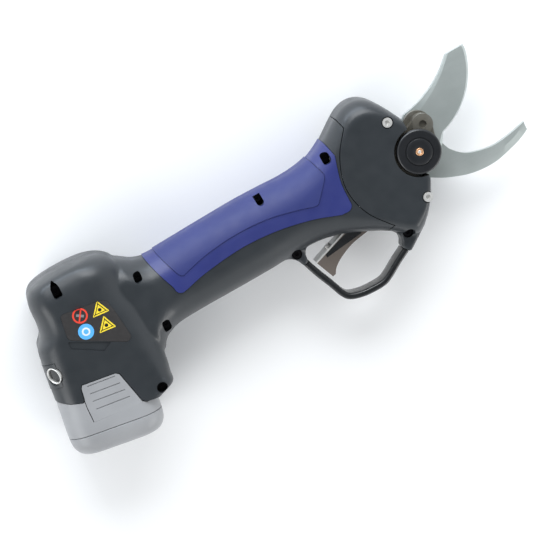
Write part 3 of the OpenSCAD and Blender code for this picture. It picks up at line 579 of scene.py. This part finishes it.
def blade_steel(name, turn):
    """Coated blade steel: matt grey-green, long grinding lines and a few dark specks."""
    look = Look(name, metallic=0.55)
    lines = look.noise(1, 5, look.stretched((120, 2600, 120), turn), 0.6)
    cloud = look.spread(look.noise(45, 5), 0.0, 1.0, 0.35, 0.68)
    base = look.mix(cloud, (0.43, 0.47, 0.455), (0.51, 0.55, 0.535))
    spot = look.spread(look.cells(105), 0.8, 0.0, 0.0, 0.07)
    base = look.mix(spot, base, (0.16, 0.14, 0.11))
    base = look.mix(look.spread(lines, 0.0, 0.16, 0.35, 0.75), base, (0.34, 0.38, 0.37))
    gloss = look.spread(lines, 0.30, 0.46, 0.3, 0.7)
    return look.finish(base, gloss, look.bump(lines, 0.004))


def printed(name, colour, roughness=0.35):
    """Printed film with a faint screen texture."""
    look = Look(name, coat=0.3)
    cloud = look.spread(look.noise(300, 3), 0.0, 1.0, 0.3, 0.7)
    base = look.mix(cloud, tint(colour, 0.95), tint(colour, 1.05))
    gloss = look.spread(look.noise(500, 2), roughness - 0.05, roughness + 0.05, 0.3, 0.7)
    return look.finish(base, gloss, look.bump(look.noise(1800, 2), 0.004))


SLATE = (0.024, 0.028, 0.032)
LOOKS = {
    "slate_plastic": plastic("slate plastic", SLATE, 0.36, wear=0.5),
    "blue_plastic": plastic("blue plastic", (0.022, 0.030, 0.150), 0.4, wear=0.4),
    "blue_rubber": rubber("blue rubber", (0.025, 0.034, 0.145), 0.5),
    "black_plastic": plastic("black plastic", (0.010, 0.011, 0.012), 0.28, coat=0.25),
    "label_film": printed("label film", (0.026, 0.024, 0.024), 0.45),
    "bright_metal": metal("bright metal", (0.80, 0.79, 0.76), 0.34, (2200,) * 3, wear=0.1, shine=0.6),
    "blade_steel": blade_steel("blade steel", 0.9),
    "gear_steel": metal("gear steel", (0.21, 0.20, 0.175), 0.36, stain=(0.12, 0.108, 0.08), shine=0.6),
    "bush_bronze": metal("bush bronze", (0.58, 0.42, 0.2), 0.3),
    "disc_black": plastic("disc black", (0.010, 0.011, 0.013), 0.32, coat=0.15, wear=0.5),
    "copper": metal("copper", (0.70, 0.38, 0.20), 0.3, shine=0.7),
    "cast_alloy": metal("cast alloy", (0.42, 0.43, 0.44), 0.5, (700,) * 3, depth=0.02),
    "lead_red": plastic("lead red", (0.42, 0.03, 0.02), 0.45),
    "board_green": printed("board green", (0.02, 0.13, 0.05), 0.3),
    "battery_plastic": plastic("battery plastic", (0.30, 0.305, 0.315), 0.42, wear=0.1),
    "cell_wrap": printed("cell wrap", (0.03, 0.25, 0.13), 0.3),
    "trigger_plastic": plastic("trigger plastic", (0.105, 0.088, 0.076), 0.42, wear=0.3),
    "black_steel": metal("black steel", (0.02, 0.02, 0.022), 0.38, wear=0.6),
}
# Pale beige colour for the sector gear's bevelled edges: a painted highlight along the lug's rim.
LUG_RIM_PAINTED_HIGHLIGHT = metal("lug chamfer painted highlight", (0.52, 0.48, 0.40), 0.4, stain=(0.36, 0.33, 0.2), shine=0.5)

# ---- Housing, covers and pads ----


def make_body():
    """The whole outer form in one piece, from which the shells and covers are cut."""
    parts = [
        loft("grip", GRIP_ROWS),
        loft("house", HOUSE_ROWS, fine=5),
    ]
    reach = GUARD_HALF + 0.3
    for name, outline in (("rear boss", REAR_BOSS), ("front boss", FRONT_BOSS)):
        parts.append(prism(name, rounded(outline, 0.8, 2), -reach, reach))
    return blended("body", parts)


def grip_core(name, gap, fine=3):
    """The inside of the grip and head, gap below the surface."""
    return loft(name, GRIP_ROWS + [BEYOND_FRONT], gap, fine, 8)


def sunk(rows, depth):
    """The rows of the housing's inside: above the shoulder they sink, so that the top has a wall too."""
    lowered = []
    for r in rows:
        d = depth * max(0, (r[1] - SHOULDER) / (rows[0][1] - SHOULDER))
        lowered.append((r[0], r[1] - d, r[2], r[3] - d, *r[4:]))
    return lowered


CHIN_SCREW = (-175.1, -40.2)
# Outline of each screw pocket, and the height of its floor
SCREW_POCKETS = [
    (rounded([(-200.6, 26.6), (-195.8, 26.6), (-195.6, 32.5), (-197.6, 36.4), (-200.3, 32.5)], 1.6), 14),
    (rounded([(-161, 12.4), (-156.6, 12.2), (-156, 17.6), (-160.2, 18)], 2), 11),
    (rounded([(-160, -18.2), (-155.4, -18.2), (-155, -11.6), (-159.4, -11.4)], 2), 8.5),
    (circle(CHIN_SCREW, SCREW_POCKET_R), 14),
]
COVER_POCKET = (rounded([(-46.6, 17.4), (-41.8, 17.8), (-41.6, 23.6), (-46.2, 23.8)], 2.4), 8)
PAD_POCKET = ([(-86.4, 20.9)] + arc((-84.4, 17.2), 2, 180, 360, 10) + [(-82.4, 20.9)], 6)
GUARD_SCREWS = [(-80.5, -17.6), (-23.96, -36.35)]
HEAD_SCREWS = [(-7.45, 21.46), (-7.02, -23.09)]
SLOT_OUTLINE = [(-67, -28), (-67, -13), (-36, -13), (-36, -34)]
SLOT_ROOM = 0.9
BUTTON_HOLE_R = 5.6
BEZEL_HOLE_R = 4.9
BUTTON_AT = (-220.9, -8, 22)
BUTTON_TILT = math.radians(50)


def button_tube(name, radius, start, end):
    """A cylinder along the power button's own axis."""
    rings = []
    for reach in (start, end):
        ring = []
        for x, y in circle((0, 0), radius, 48):
            ring.append((
                BUTTON_AT[0] + x * math.cos(BUTTON_TILT) - reach * math.sin(BUTTON_TILT),
                BUTTON_AT[1] + y,
                BUTTON_AT[2] + x * math.sin(BUTTON_TILT) + reach * math.cos(BUTTON_TILT),
            ))
        rings.append(ring)
    return stacked(name, rings)


LABEL_CORNERS = [(-202.6, 18.9), (-181, 15.6), (-177.3, 13.4), (-175.7, -9), (-178.6, -10.6), (-205.2, 5.4)]
LABEL = rounded(LABEL_CORNERS, 2.4, 6)
LABEL_SHADE = rounded([(-205.6, 4.8), (-206.2, 0.8), (-191.4, -8.8), (-186.4, -6.2)], 0.9, 3)


def make_shells(body):
    """The two halves of the housing, hollow, with the pockets of the right one."""
    shell = duplicate(body, "shell")
    cut(shell, grip_core("grip cavity", WALL), loft("house cavity", sunk(HOUSE_ROWS, WALL), WALL, 2, 8))
    post = keep(duplicate(body, "chin post"), prism("post", circle(CHIN_SCREW, 4.6)))
    join_by(shell, post, "UNION")
    cut(shell, prism("head part", HEAD_ZONE))
    cut(shell, prism("battery part", battery_zone(0)))
    cut(shell, cut(prism("cover recess", BLUE_ZONE), grip_core("recess floor", COVER_T, 4)))
    slot_half = TRIGGER_HALF + SLOT_ROOM
    cut(shell, prism("trigger slot", SLOT_OUTLINE, -slot_half, slot_half))
    band = cut(prism("band recess", BEZEL_ZONE), loft("band floor", HOUSE_ROWS, 1, 4, 10))
    cut(shell, band)

    left = half(shell, "left_shell", -1)
    right = half(shell, "right_shell", 1)
    remove(shell)
    for outline, seat in SCREW_POCKETS + [COVER_POCKET, PAD_POCKET]:
        cut(right, prism("pocket", outline, seat))
    cut(right, prism("guard screw pocket", circle(GUARD_SCREWS[0], SCREW_POCKET_R), GUARD_SCREW_SEAT))
    cut(right, prism("label pocket", LABEL, BODY_HALF - LABEL_DEPTH))
    cut(right, prism("label shade", LABEL_SHADE, BODY_HALF - SHADE_DEPTH))
    cut(right, button_tube("button hole", BUTTON_HOLE_R, -8, 10))
    piece(right, "housing", "slate_plastic", LOOKS["slate_plastic"], "right_housing")
    piece(left, "housing", "slate_plastic", LOOKS["slate_plastic"], "left_housing")


def make_head_covers(body):
    """The two covers round the blades' pivot."""
    zone = prism("head part", inset(HEAD_ZONE, SEAM * 2))
    head = keep(duplicate(body, "head"), zone, prism("front", HEAD_FRONT))
    cavity_rows = GRIP_ROWS[HEAD_FIRST_ROW:] + [BEYOND_FRONT]
    cut(head, loft("head cavity", cavity_rows, WALL, 3, 8))
    right = half(head, "right_head", 1)
    left = half(head, "left_head", -1)
    remove(head)
    for shell in (right, left):
        cut(shell, prism("pivot hole", circle((0, 0), HUB_R + 0.3, 96)))
    for at in HEAD_SCREWS:
        cut(right, prism("counterbore", circle(at, 3.15), GRIP_HALF - 2.8))
    cut(right, prism("guard screw pocket", circle(GUARD_SCREWS[1], SCREW_POCKET_R), GUARD_SCREW_SEAT))
    piece(right, "housing", "slate_plastic", LOOKS["slate_plastic"], "head_cover_right")
    piece(left, "housing", "slate_plastic", LOOKS["slate_plastic"], "head_cover_left")


def swollen(obj, name, height):
    """A copy of obj whose surface stands out by height."""
    copy = duplicate(obj, name)
    m = copy.modifiers.new("swell", "DISPLACE")
    m.strength = height * MM
    m.mid_level = 0
    return settle(copy)


def make_covers(body):
    """The blue grip covers and, let into them, the soft pads."""
    skin = keep(swollen(body, "skin", PROUD), prism("blue part", inset(BLUE_ZONE, SEAM)))
    pads = keep(swollen(body, "pads", PROUD * 2), prism("pad part", inset(PAD_ZONE, SEAM)))
    cut(skin, grip_core("cover floor", COVER_T - 0.05, 4), prism("pad hole", PAD_ZONE))
    cut(pads, grip_core("pad floor", COVER_T - 0.05, 4))
    for side, word in ((1, "right"), (-1, "left")):
        cover = half(skin, f"{word}_cover", side)
        pad = half(pads, f"{word}_pad", side)
        if side > 0:
            cut(cover, prism("pocket", *COVER_POCKET))
            cut(pad, prism("pocket", *PAD_POCKET))
        piece(cover, "housing", "blue_plastic", LOOKS["blue_plastic"], f"grip_cover_{word}")
        piece(pad, "housing", "blue_rubber", LOOKS["blue_rubber"], f"grip_pad_{word}")
    remove(skin)
    remove(pads)


def make_bezel(body):
    """The band round the rear edge, and the ring and cap of the power button in it."""
    band = keep(swollen(body, "rear_band", 0.3), prism("band part", inset(BEZEL_ZONE, SEAM)))
    cut(band, loft("band floor", HOUSE_ROWS, 1, 4, 10), button_tube("button hole", BEZEL_HOLE_R, -8, 12))
    piece(band, "housing", "slate_plastic", LOOKS["slate_plastic"], "rear_bezel")
    profile = [(3.8, -4), (4.7, -4), (4.7, -0.3), (4.5, -0.05), (4.2, -0.05), (3.8, -0.6)]
    ring = turned("ring", (0, 0), profile, 64)
    cap = turned("cap", (0, 0), [(0, -4), (3.7, -4), (3.7, -1.6), (3.3, -1.3), (0, -1.1)], 48)
    lowered = Matrix.Translation((0, 0, -MIDDLE * MM))
    turn = Matrix.Rotation(-BUTTON_TILT, 4, "Y")
    place = Matrix.Translation((BUTTON_AT[0] * MM, BUTTON_AT[1] * MM, (BUTTON_AT[2] + MIDDLE) * MM))
    for obj, rides, slot, node in (
        (ring, "housing", "bright_metal", "button_ring"),
        (cap, "button", "black_plastic", "power_button"),
    ):
        obj.data.transform(place @ turn @ lowered)
        piece(obj, rides, slot, LOOKS[slot], node)


# ---- Label plate and its plain signs ----


def draped(name, outline, onto, lift, hole=0.0, rounds=7):
    """A thin printed sign laid on a surface; hole is the share of it left open in the middle."""
    p = [np.array(q, float) for q in outline]
    dense = []
    for i, q in enumerate(p):
        following = p[(i + 1) % len(p)]
        count = max(1, int(np.linalg.norm(following - q) / 0.5))
        dense += [q + (following - q) * j / count for j in range(count)]
    middle = sum(dense) / len(dense)
    rings = []
    for share in np.linspace(1, max(hole, 0.02), rounds):
        rings.append([(*(middle + (q - middle) * share), BODY_HALF + 2) for q in dense])
    m = len(dense)
    faces = [(i * m + j, i * m + (j + 1) % m, (i + 1) * m + (j + 1) % m, (i + 1) * m + j)
             for i in range(rounds - 1) for j in range(m)]
    if not hole:
        faces.append(tuple((rounds - 1) * m + j for j in range(m)))
    obj = solid(name, [q for ring in rings for q in ring], faces)
    wrap = obj.modifiers.new("wrap", "SHRINKWRAP")
    wrap.target = onto
    wrap.wrap_method = "PROJECT"
    wrap.use_project_z = True
    wrap.use_negative_direction = True
    wrap.use_positive_direction = True
    wrap.offset = lift * MM
    settle(obj)
    for face in obj.data.polygons:
        if face.normal.z < 0:
            obj.data.flip_normals()
            break
    return obj


def slash(centre, radius, width, turn):
    """A bar across a ring."""
    c, s = math.cos(math.radians(turn)), math.sin(math.radians(turn))
    corners = [(-radius, -width / 2), (radius, -width / 2), (radius, width / 2), (-radius, width / 2)]
    return [(centre[0] + x * c - y * s, centre[1] + x * s + y * c) for x, y in corners]


TRIANGLES = [[(-182.4, 16.2), (-179.2, 8.4), (-188.4, 9.4)], [(-183.2, 7.7), (-180.2, -0.4), (-189.4, 0.7)]]
RING_AT = (-193.6, 13.6)
DISC_AT = (-194.9, 4.9)


def make_label(body):
    """The plate on the right side, with a few plain coloured signs."""
    plate = keep(duplicate(body, "label"), prism("label part", inset(LABEL, 0.12)))
    cut(plate, prism("label floor", EVERYWHERE, -FAR, BODY_HALF - 1))
    piece(plate, "housing", "label_film", LOOKS["label_film"], "label_plate")
    signs = []
    yellow = printed("sign yellow", (0.86, 0.66, 0.04))
    black = printed("sign black", (0.01, 0.01, 0.011))
    red = printed("sign red", (0.75, 0.06, 0.035))
    sky = printed("sign blue", (0.10, 0.42, 0.86))
    pale = printed("sign white", (0.7, 0.76, 0.8))
    grey = printed("sign grey", (0.22, 0.22, 0.23))
    for k, corners in enumerate(TRIANGLES):
        outer = rounded(corners, 0.7, 3)
        signs.append((draped(f"sign_edge_{k}", outer, plate, 0.05), yellow))
        signs.append((draped(f"sign_line_{k}", inset(outer, 0.7), plate, 0.08, 0.78, 3), black))
        middle = np.mean(np.array(corners, float), axis=0)
        signs.append((draped(f"sign_dot_{k}", circle(middle, 0.95, 16), plate, 0.08), black))
    signs.append((draped("sign_ring", circle(RING_AT, 4), plate, 0.05, 0.78, 4), red))
    signs.append((draped("sign_slash", slash(RING_AT, 3.3, 0.8, 55), plate, 0.06), red))
    signs.append((draped("sign_bar", slash(RING_AT, 2, 1.3, -35), plate, 0.04), grey))
    signs.append((draped("sign_disc", circle(DISC_AT, 4.1), plate, 0.05), sky))
    signs.append((draped("sign_disc_ring", circle(DISC_AT, 2.2, 24), plate, 0.08, 0.6, 3), pale))
    for obj, look in signs:
        piece(obj, "housing", "label_film", look, angle=60)


# ---- Battery ----


def rounded_rectangle(half_u, half_w, radius, steps):
    line = []
    for su, sw, start in ((1, 1, 0), (-1, 1, 90), (-1, -1, 180), (1, -1, 270)):
        centre = (su * (half_u - radius), sw * (half_w - radius))
        line += arc(centre, radius, start, start + 90, steps)
    return line


def battery_bar(name, outline, x, y0, y1):
    """A bar along the battery's own frame, from y0 to y1."""
    return stacked(name, [leaning([(x + u, y, w) for u, w in outline]) for y in (y0, y1)])


def battery_slab(name, y0, y1):
    """Everything between two heights of the battery's own frame."""
    corners = [(-FAR, y0, 0), (FAR, y0, 0), (FAR, y1, 0), (-FAR, y1, 0)]
    return prism(name, [p[:2] for p in leaning(corners)])


STEM_HALF = 20.2
CELL_ROOM_HALF = 18.3
STEM_X = 2
CONTACTS_X = (-5, 9)
LATCH_FLOOR = 21
LATCH_BACK = 22.4
GROOVE_DEPTH = 0.45
HOOK_OUTLINE = [(-208.4, -25), (-194.4, -27), (-194.4, -17), (-208.4, -15.4)]


def make_battery():
    """The battery: its stem and foot in two shells, and a latch tongue on each side."""
    foot = stacked("foot", [leaning(section(r, 0, 16)) for r in spline(FOOT_ROWS, 5)])
    keep(foot, prism("battery part", battery_zone(0.4)))
    case = keep(duplicate(foot, "battery_upper"), battery_slab("above", FOOT_SPLIT, FOOT_SPLIT + 90))
    base = keep(duplicate(foot, "battery_lower"), battery_slab("below", FOOT_SPLIT - 0.35, -90))
    stem_outline = rounded_rectangle(STEM_HALF, STEM_HALF, 9.5, 8)
    room_outline = rounded_rectangle(CELL_ROOM_HALF, CELL_ROOM_HALF, 7.6, 8)
    join_by(case, battery_bar("stem", stem_outline, STEM_X, -36, 19.6), "UNION")
    cut(case, battery_bar("cell room", room_outline, STEM_X, -50, 18.2))
    for x in CONTACTS_X:
        cut(case, battery_bar("contact hole", circle((0, 0), 2.5, 32), x, 17, 22))
    for side, word in ((1, "right"), (-1, "left")):
        for shell in (case, base):
            cut(shell, prism("latch room", latch_zone(0.05), *sided(side, LATCH_FLOOR, FAR)))
        make_latch(foot, side, word)
    remove(foot)
    for shell, node in ((case, "battery_case"), (base, "battery_base")):
        eased(shell, 0.3, 2, 50)
        piece(shell, "battery", "battery_plastic", LOOKS["battery_plastic"], node)


def make_latch(foot, side, word):
    """A ribbed tongue cut from the foot's side, with its hook."""
    latch = keep(duplicate(foot, f"{word}_latch"), prism("latch part", latch_zone(-0.35)))
    cut(latch, prism("latch back", EVERYWHERE, *sided(side, -FAR, LATCH_BACK)))
    for groove in latch_grooves():
        cut(latch, prism("groove", groove, *sided(side, BODY_HALF - GROOVE_DEPTH, FAR)))
    join_by(latch, prism("hook", HOOK_OUTLINE, *sided(side, 21.3, 23)), "UNION")
    eased(latch, 0.25, 2, 50)
    piece(latch, f"latch_{word}", "battery_plastic", LOOKS["battery_plastic"], f"battery_latch_{word}")


def latch_grooves():
    """Narrow grooves that leave broad ribs on the latch, and a line along its edge."""
    grooves = []
    for left, right in (((-208.4, -20.3), (-193.4, -22.6)), ((-208.8, -24.4), (-192.8, -27.0)),
                        ((-209.6, -28.5), (-192.4, -31.3)), ((-210.1, -32.9), (-191.9, -35.6))):
        a, b = np.array(left, float), np.array(right, float)
        across = np.array((-(b - a)[1], (b - a)[0])) / np.linalg.norm(b - a) * 0.22
        grooves.append([a - across, b - across, b + across, a + across])
    return grooves


# ---- Guard ----

BOW_HALF = 1.75
BOW_EDGE_R = 1.3
GUARD_LINE = [(-78.5, -23.6), (-75.9, -31.4), (-72, -40.8), (-69.2, -48), (-66.3, -51.4), (-60.2, -53.4),
              (-53.6, -54), (-47.6, -53.8), (-43.2, -52.1), (-36, -47.9), (-28.4, -43.9)]


def make_guard():
    """The bow of the guard: a rounded band swept along its middle line."""
    path = spline(GUARD_LINE, 6)
    band = rounded_rectangle(BOW_HALF, GUARD_HALF, BOW_EDGE_R, 6)
    rings = []
    for i, q in enumerate(path):
        ahead = path[min(i + 1, len(path) - 1)] - path[max(i - 1, 0)]
        ahead = ahead / np.linalg.norm(ahead)
        across = np.array((-ahead[1], ahead[0]))
        rings.append([(*(q + across * u), z) for u, z in band])
    guard = stacked("guard_bow", rings)
    for boss in (REAR_BOSS, FRONT_BOSS):
        cut(guard, prism("boss room", inset(boss, -0.12)))
    piece(guard, "housing", "black_plastic", LOOKS["black_plastic"], "trigger_guard")


# ---- Blades and pivot ----


LINE_POINTS = 64


def strips(name, *lines):
    """A solid through matching lines of x, y, z that run side by side."""
    return stacked(name, [list(points) for points in zip(*lines)])


def resampled(line):
    """The line with evenly spaced points, as many as every other line of a blade."""
    p = [np.array(q[:2], float) for q in line]
    lengths = [0.0]
    for a, b in zip(p, p[1:]):
        lengths.append(lengths[-1] + np.linalg.norm(b - a))
    wanted = np.linspace(0, lengths[-1], LINE_POINTS)
    x, y = (np.interp(wanted, lengths, [q[k] for q in p]) for k in (0, 1))
    return list(zip(x.tolist(), y.tolist()))


def at_height(line, z):
    return [(x, y, z) for x, y in line]


def make_moving_blade():
    """The curved upper blade with its hub: cutting edge, ground bevel, ridge and spine."""
    edge = resampled([(48.6, 35.4)] + arc((6.4, 41.1), 43.1, -11, -74, 60) + [(14.6, -6), (9, -9.5)])
    bevel = resampled([(47.1, 35.35)] + arc((5.6, 41.1), 42.2, -11, -74, 60) + [(12.4, -4.8), (6.6, -7.8)])
    ridge = resampled([(39.2, 35.25), (30.5, 27.1), (22.6, 21.6), (15.6, 17.8), (6, 14), (0, 10), (-3, 4)])
    spine = resampled([(37.7, 35.2)] + arc((-2.9, 73.6), 55.8, -43.5, -83, 40) + [(-4, 12), (-6, 4)])
    blade = strips("upper_blade", at_height(edge, BLADE_LOW), at_height(edge, BLADE_LOW + 0.35),
                   at_height(bevel, BLADE_TOP - 0.3), at_height(ridge, BLADE_TOP),
                   at_height(spine, BLADE_TOP - 0.5), at_height(spine, BLADE_LOW))
    join_by(blade, prism("hub", circle((0, 0), HUB_R, 96), BLADE_LOW, BLADE_TOP), "UNION")
    cut(blade, prism("bore", circle((0, 0), 7.1, 64)))
    piece(blade, "blade", "blade_steel", LOOKS["blade_steel"], "moving_blade", angle=7)


def make_fixed_blade():
    """The hooked lower blade with its root in the head."""
    jaw = [(14.6, -4.5), (17.4, -10.8), (24.5, -16.8), (36.5, -19.9), (47, -19.3), (58.2, -17)]
    inner = resampled(arc((0, 0), HUB_R, 40, 0, 12) + [tuple(q) for q in spline(jaw, 10)])
    crest = [(7.6, -9), (12.4, -17.6), (21.3, -22.2), (36.1, -23.9), (46.6, -22.4), (53.4, -20)]
    crest.append((57.9, -17.7))
    ridge = resampled(arc((0, 0), 8.5, 40, -20, 12) + [tuple(q) for q in spline(crest, 10)])
    back = [(0, -18), (8.6, -22.9), (21.3, -27.4), (34.7, -28.4), (47.7, -25.6), (54.6, -23.2), (58, -21.4)]
    outer = resampled([(-10, 2), (-8, -8), (-4, -14)] + [tuple(q) for q in spline(back, 10)])
    hook = strips("lower_blade", at_height(inner, HOOK_LOW), at_height(inner, HOOK_TOP),
                  at_height(ridge, HOOK_TOP - 0.05), at_height(outer, HOOK_TOP - 0.9),
                  at_height(outer, HOOK_LOW))
    root = [(-19, 9), (-14, 12.5), (2, 12), (10, 8), (13, 0), (8, -14), (0, -17.6), (-14, -15), (-19, -11)]
    join_by(hook, prism("root", rounded(root, 1.5), HOOK_LOW, HOOK_TOP - 0.02), "UNION")
    cut(hook, prism("bolt hole", circle((0, 0), 5.02, 64)))
    piece(hook, "housing", "blade_steel", LOOKS["blade_steel"], "fixed_blade", angle=12)


def make_pivot():
    """The black disc over the pivot, its copper ferrule and the pin in that."""
    r, low, top = DISC_R, DISC_LOW, DISC_TOP
    step = top - 0.4
    disc = turned("disc", (0, 0), [
        (FERRULE_R, low), (r - 0.4, low), (r, low + 0.4), (r, step - 0.9), (r - 0.25, step - 0.35),
        (r - 0.8, step - 0.05), (r - 1.2, step), (7.5, step), (7.3, step - 0.25), (7.1, step - 0.25),
        (6.9, step), (6.8, top - 0.1), (6.6, top), (3.1, top), (2.7, top - 0.12), (FERRULE_R, top - 0.2)])
    piece(disc, "housing", "disc_black", LOOKS["disc_black"], "pivot_disc", angle=40)
    f, t = FERRULE_R, FERRULE_TOP
    ferrule = turned("ferrule", (0, 0), [
        (1.0, low + 0.2), (f, low + 0.2), (f, t - 0.15), (f - 0.2, t), (1.25, t), (1.05, t - 0.15)], 48)
    piece(ferrule, "housing", "copper", LOOKS["copper"], "disc_ferrule", angle=40)
    domed = [(0, low + 0.3), (1.0, low + 0.3), (1.0, t - 0.5), (0.7, t - 0.25), (0, t - 0.2)]
    pin = turned("ferrule_pin", (0, 0), domed, 32)
    piece(pin, "housing", "bright_metal", LOOKS["bright_metal"], angle=40)


# ---- What stays from the CAD, with better looks ----

# Bevel widths, in millimetres
EASE = {
    "sector_gear": 0.45, "drive_pin": 0.2, "pivot_cap_left": 0.8, "pivot_bolt": 0.2, "pivot_nut": 0.2,
    "trigger_lever": 1.0, "trigger_core": 0.25, "trigger_leaf": 0.15, "leaf_screw": 0.2,
    "housing_screws": 0.2, "head_screws": 0.15, "gear_case": 0.3, "trigger_switch": 0.3,
    "battery_terminals": 0.1, "socket_contacts": 0.2,
}


def dress_cad():
    """Gives every CAD node its slot's look, soft shading and eased edges."""
    for row in frame["record"]["subparts"]:
        node, slot = row["node"], row["material_slot"]
        obj = frame["nodes"][node]
        obj.data.materials.clear()
        obj.data.materials.append(LOOKS[slot])
        obj.data.shade_smooth()
        obj.data.set_sharp_from_angle(angle=math.radians(28))
        if node in EASE:
            eased(obj, EASE[node], 3, 40)
    # The gear's bevels take the pale beige material, a painted highlight round the lug's rim.
    gear = frame["nodes"]["sector_gear"]
    gear.data.materials.append(LUG_RIM_PAINTED_HIGHLIGHT)
    gear.modifiers["eased"].material = 1
    gear.modifiers["eased"].segments = 1


# ---- Studio ----

VIEW = (-0.0386, 0.1934, 0.9804)
ROLL = math.radians(-29.8)
DISTANCE = 1.393
LENS = 174.1
LOOK_AT = (-0.0954, -0.0229, MIDDLE * MM)
FLOOR_REACH = 3000
FLOOR_GAP = 0.4

def aim(obj, target):
    obj.rotation_euler = (Vector(target) - obj.location).to_track_quat("-Z", "Y").to_euler()


def make_light(name, place, target, size, power, colour=(1, 1, 1)):
    data = bpy.data.lights.new(name, "AREA")
    data.shape = "RECTANGLE"
    data.size, data.size_y = size
    data.energy = power
    data.color = colour
    light = bpy.data.objects.new(name, data)
    bpy.context.scene.collection.objects.link(light)
    light.location = place
    aim(light, target)


def make_camera():
    """A long lens from the right side, turned so that the grip rises to the right."""
    view = Vector(VIEW).normalized()
    level = Vector((math.cos(ROLL), math.sin(ROLL), 0))
    right = (level - view * view.dot(level)).normalized()
    up = view.cross(right)
    data = bpy.data.cameras.new("camera")
    data.lens = LENS
    data.sensor_width = 36
    data.clip_end = 20
    camera = bpy.data.objects.new("camera", data)
    bpy.context.scene.collection.objects.link(camera)
    camera.matrix_world = Matrix((right, up, view)).transposed().to_4x4()
    camera.location = Vector(LOOK_AT) + view * DISTANCE
    bpy.context.scene.camera = camera


def make_studio():
    """A pale floor just under the tool, a sky that is dark overhead, and four soft lights."""
    low, high = cad_box
    centre = (Vector(low) + Vector(high)) / 2
    level = low[2] / MM - MIDDLE - FLOOR_GAP
    corners = [(x * FLOOR_REACH, y * FLOOR_REACH, level) for x, y in ((-1, -1), (1, -1), (1, 1), (-1, 1))]
    floor = solid("floor", corners, [(0, 1, 2, 3)])
    look = Look("studio floor")
    tone = look.mix(look.noise(6, 3), (0.93, 0.93, 0.93), (0.95, 0.95, 0.95))
    floor.data.materials.append(look.finish(tone, look.spread(look.noise(40, 2), 0.6, 0.75)))
    world = bpy.data.worlds.new("studio")
    bpy.context.scene.world = world
    world.use_nodes = True
    nodes, links = world.node_tree.nodes, world.node_tree.links
    direction = nodes.new("ShaderNodeSeparateXYZ")
    strength = nodes.new("ShaderNodeMapRange")
    strength.interpolation_type = "SMOOTHSTEP"
    for name, value in (("From Min", 0.55), ("From Max", 0.97), ("To Min", 1.0), ("To Max", 0.16)):
        strength.inputs[name].default_value = value
    links.new(nodes.new("ShaderNodeTexCoord").outputs["Generated"], direction.inputs["Vector"])
    links.new(direction.outputs["Z"], strength.inputs["Value"])
    links.new(strength.outputs["Result"], nodes["Background"].inputs["Strength"])
    nodes["Background"].inputs["Color"].default_value = (0.93, 0.965, 1.0, 1)
    make_light("key", centre + Vector((0.25, 0.85, 0.7)), centre, (0.8, 0.6), 9, (0.94, 0.97, 1.0))
    make_light("fill", centre + Vector((-0.9, -0.2, 0.6)), centre, (0.7, 0.7), 4, (1, 1, 1))
    make_light("rim", centre + Vector((0.05, 1.1, 0.22)), centre, (1.2, 0.25), 7, (0.78, 0.88, 1.0))
    make_light("low", centre + Vector((0.5, -0.8, 0.4)), centre, (0.6, 0.3), 3, (1, 0.99, 0.97))
    bpy.context.scene.view_settings.view_transform = "Standard"


make_camera()
dress_cad()
body = make_body()
make_shells(body)
make_head_covers(body)
make_covers(body)
make_bezel(body)
make_label(body)
remove(body)
make_battery()
make_guard()
make_moving_blade()
make_fixed_blade()
make_pivot()
make_studio()
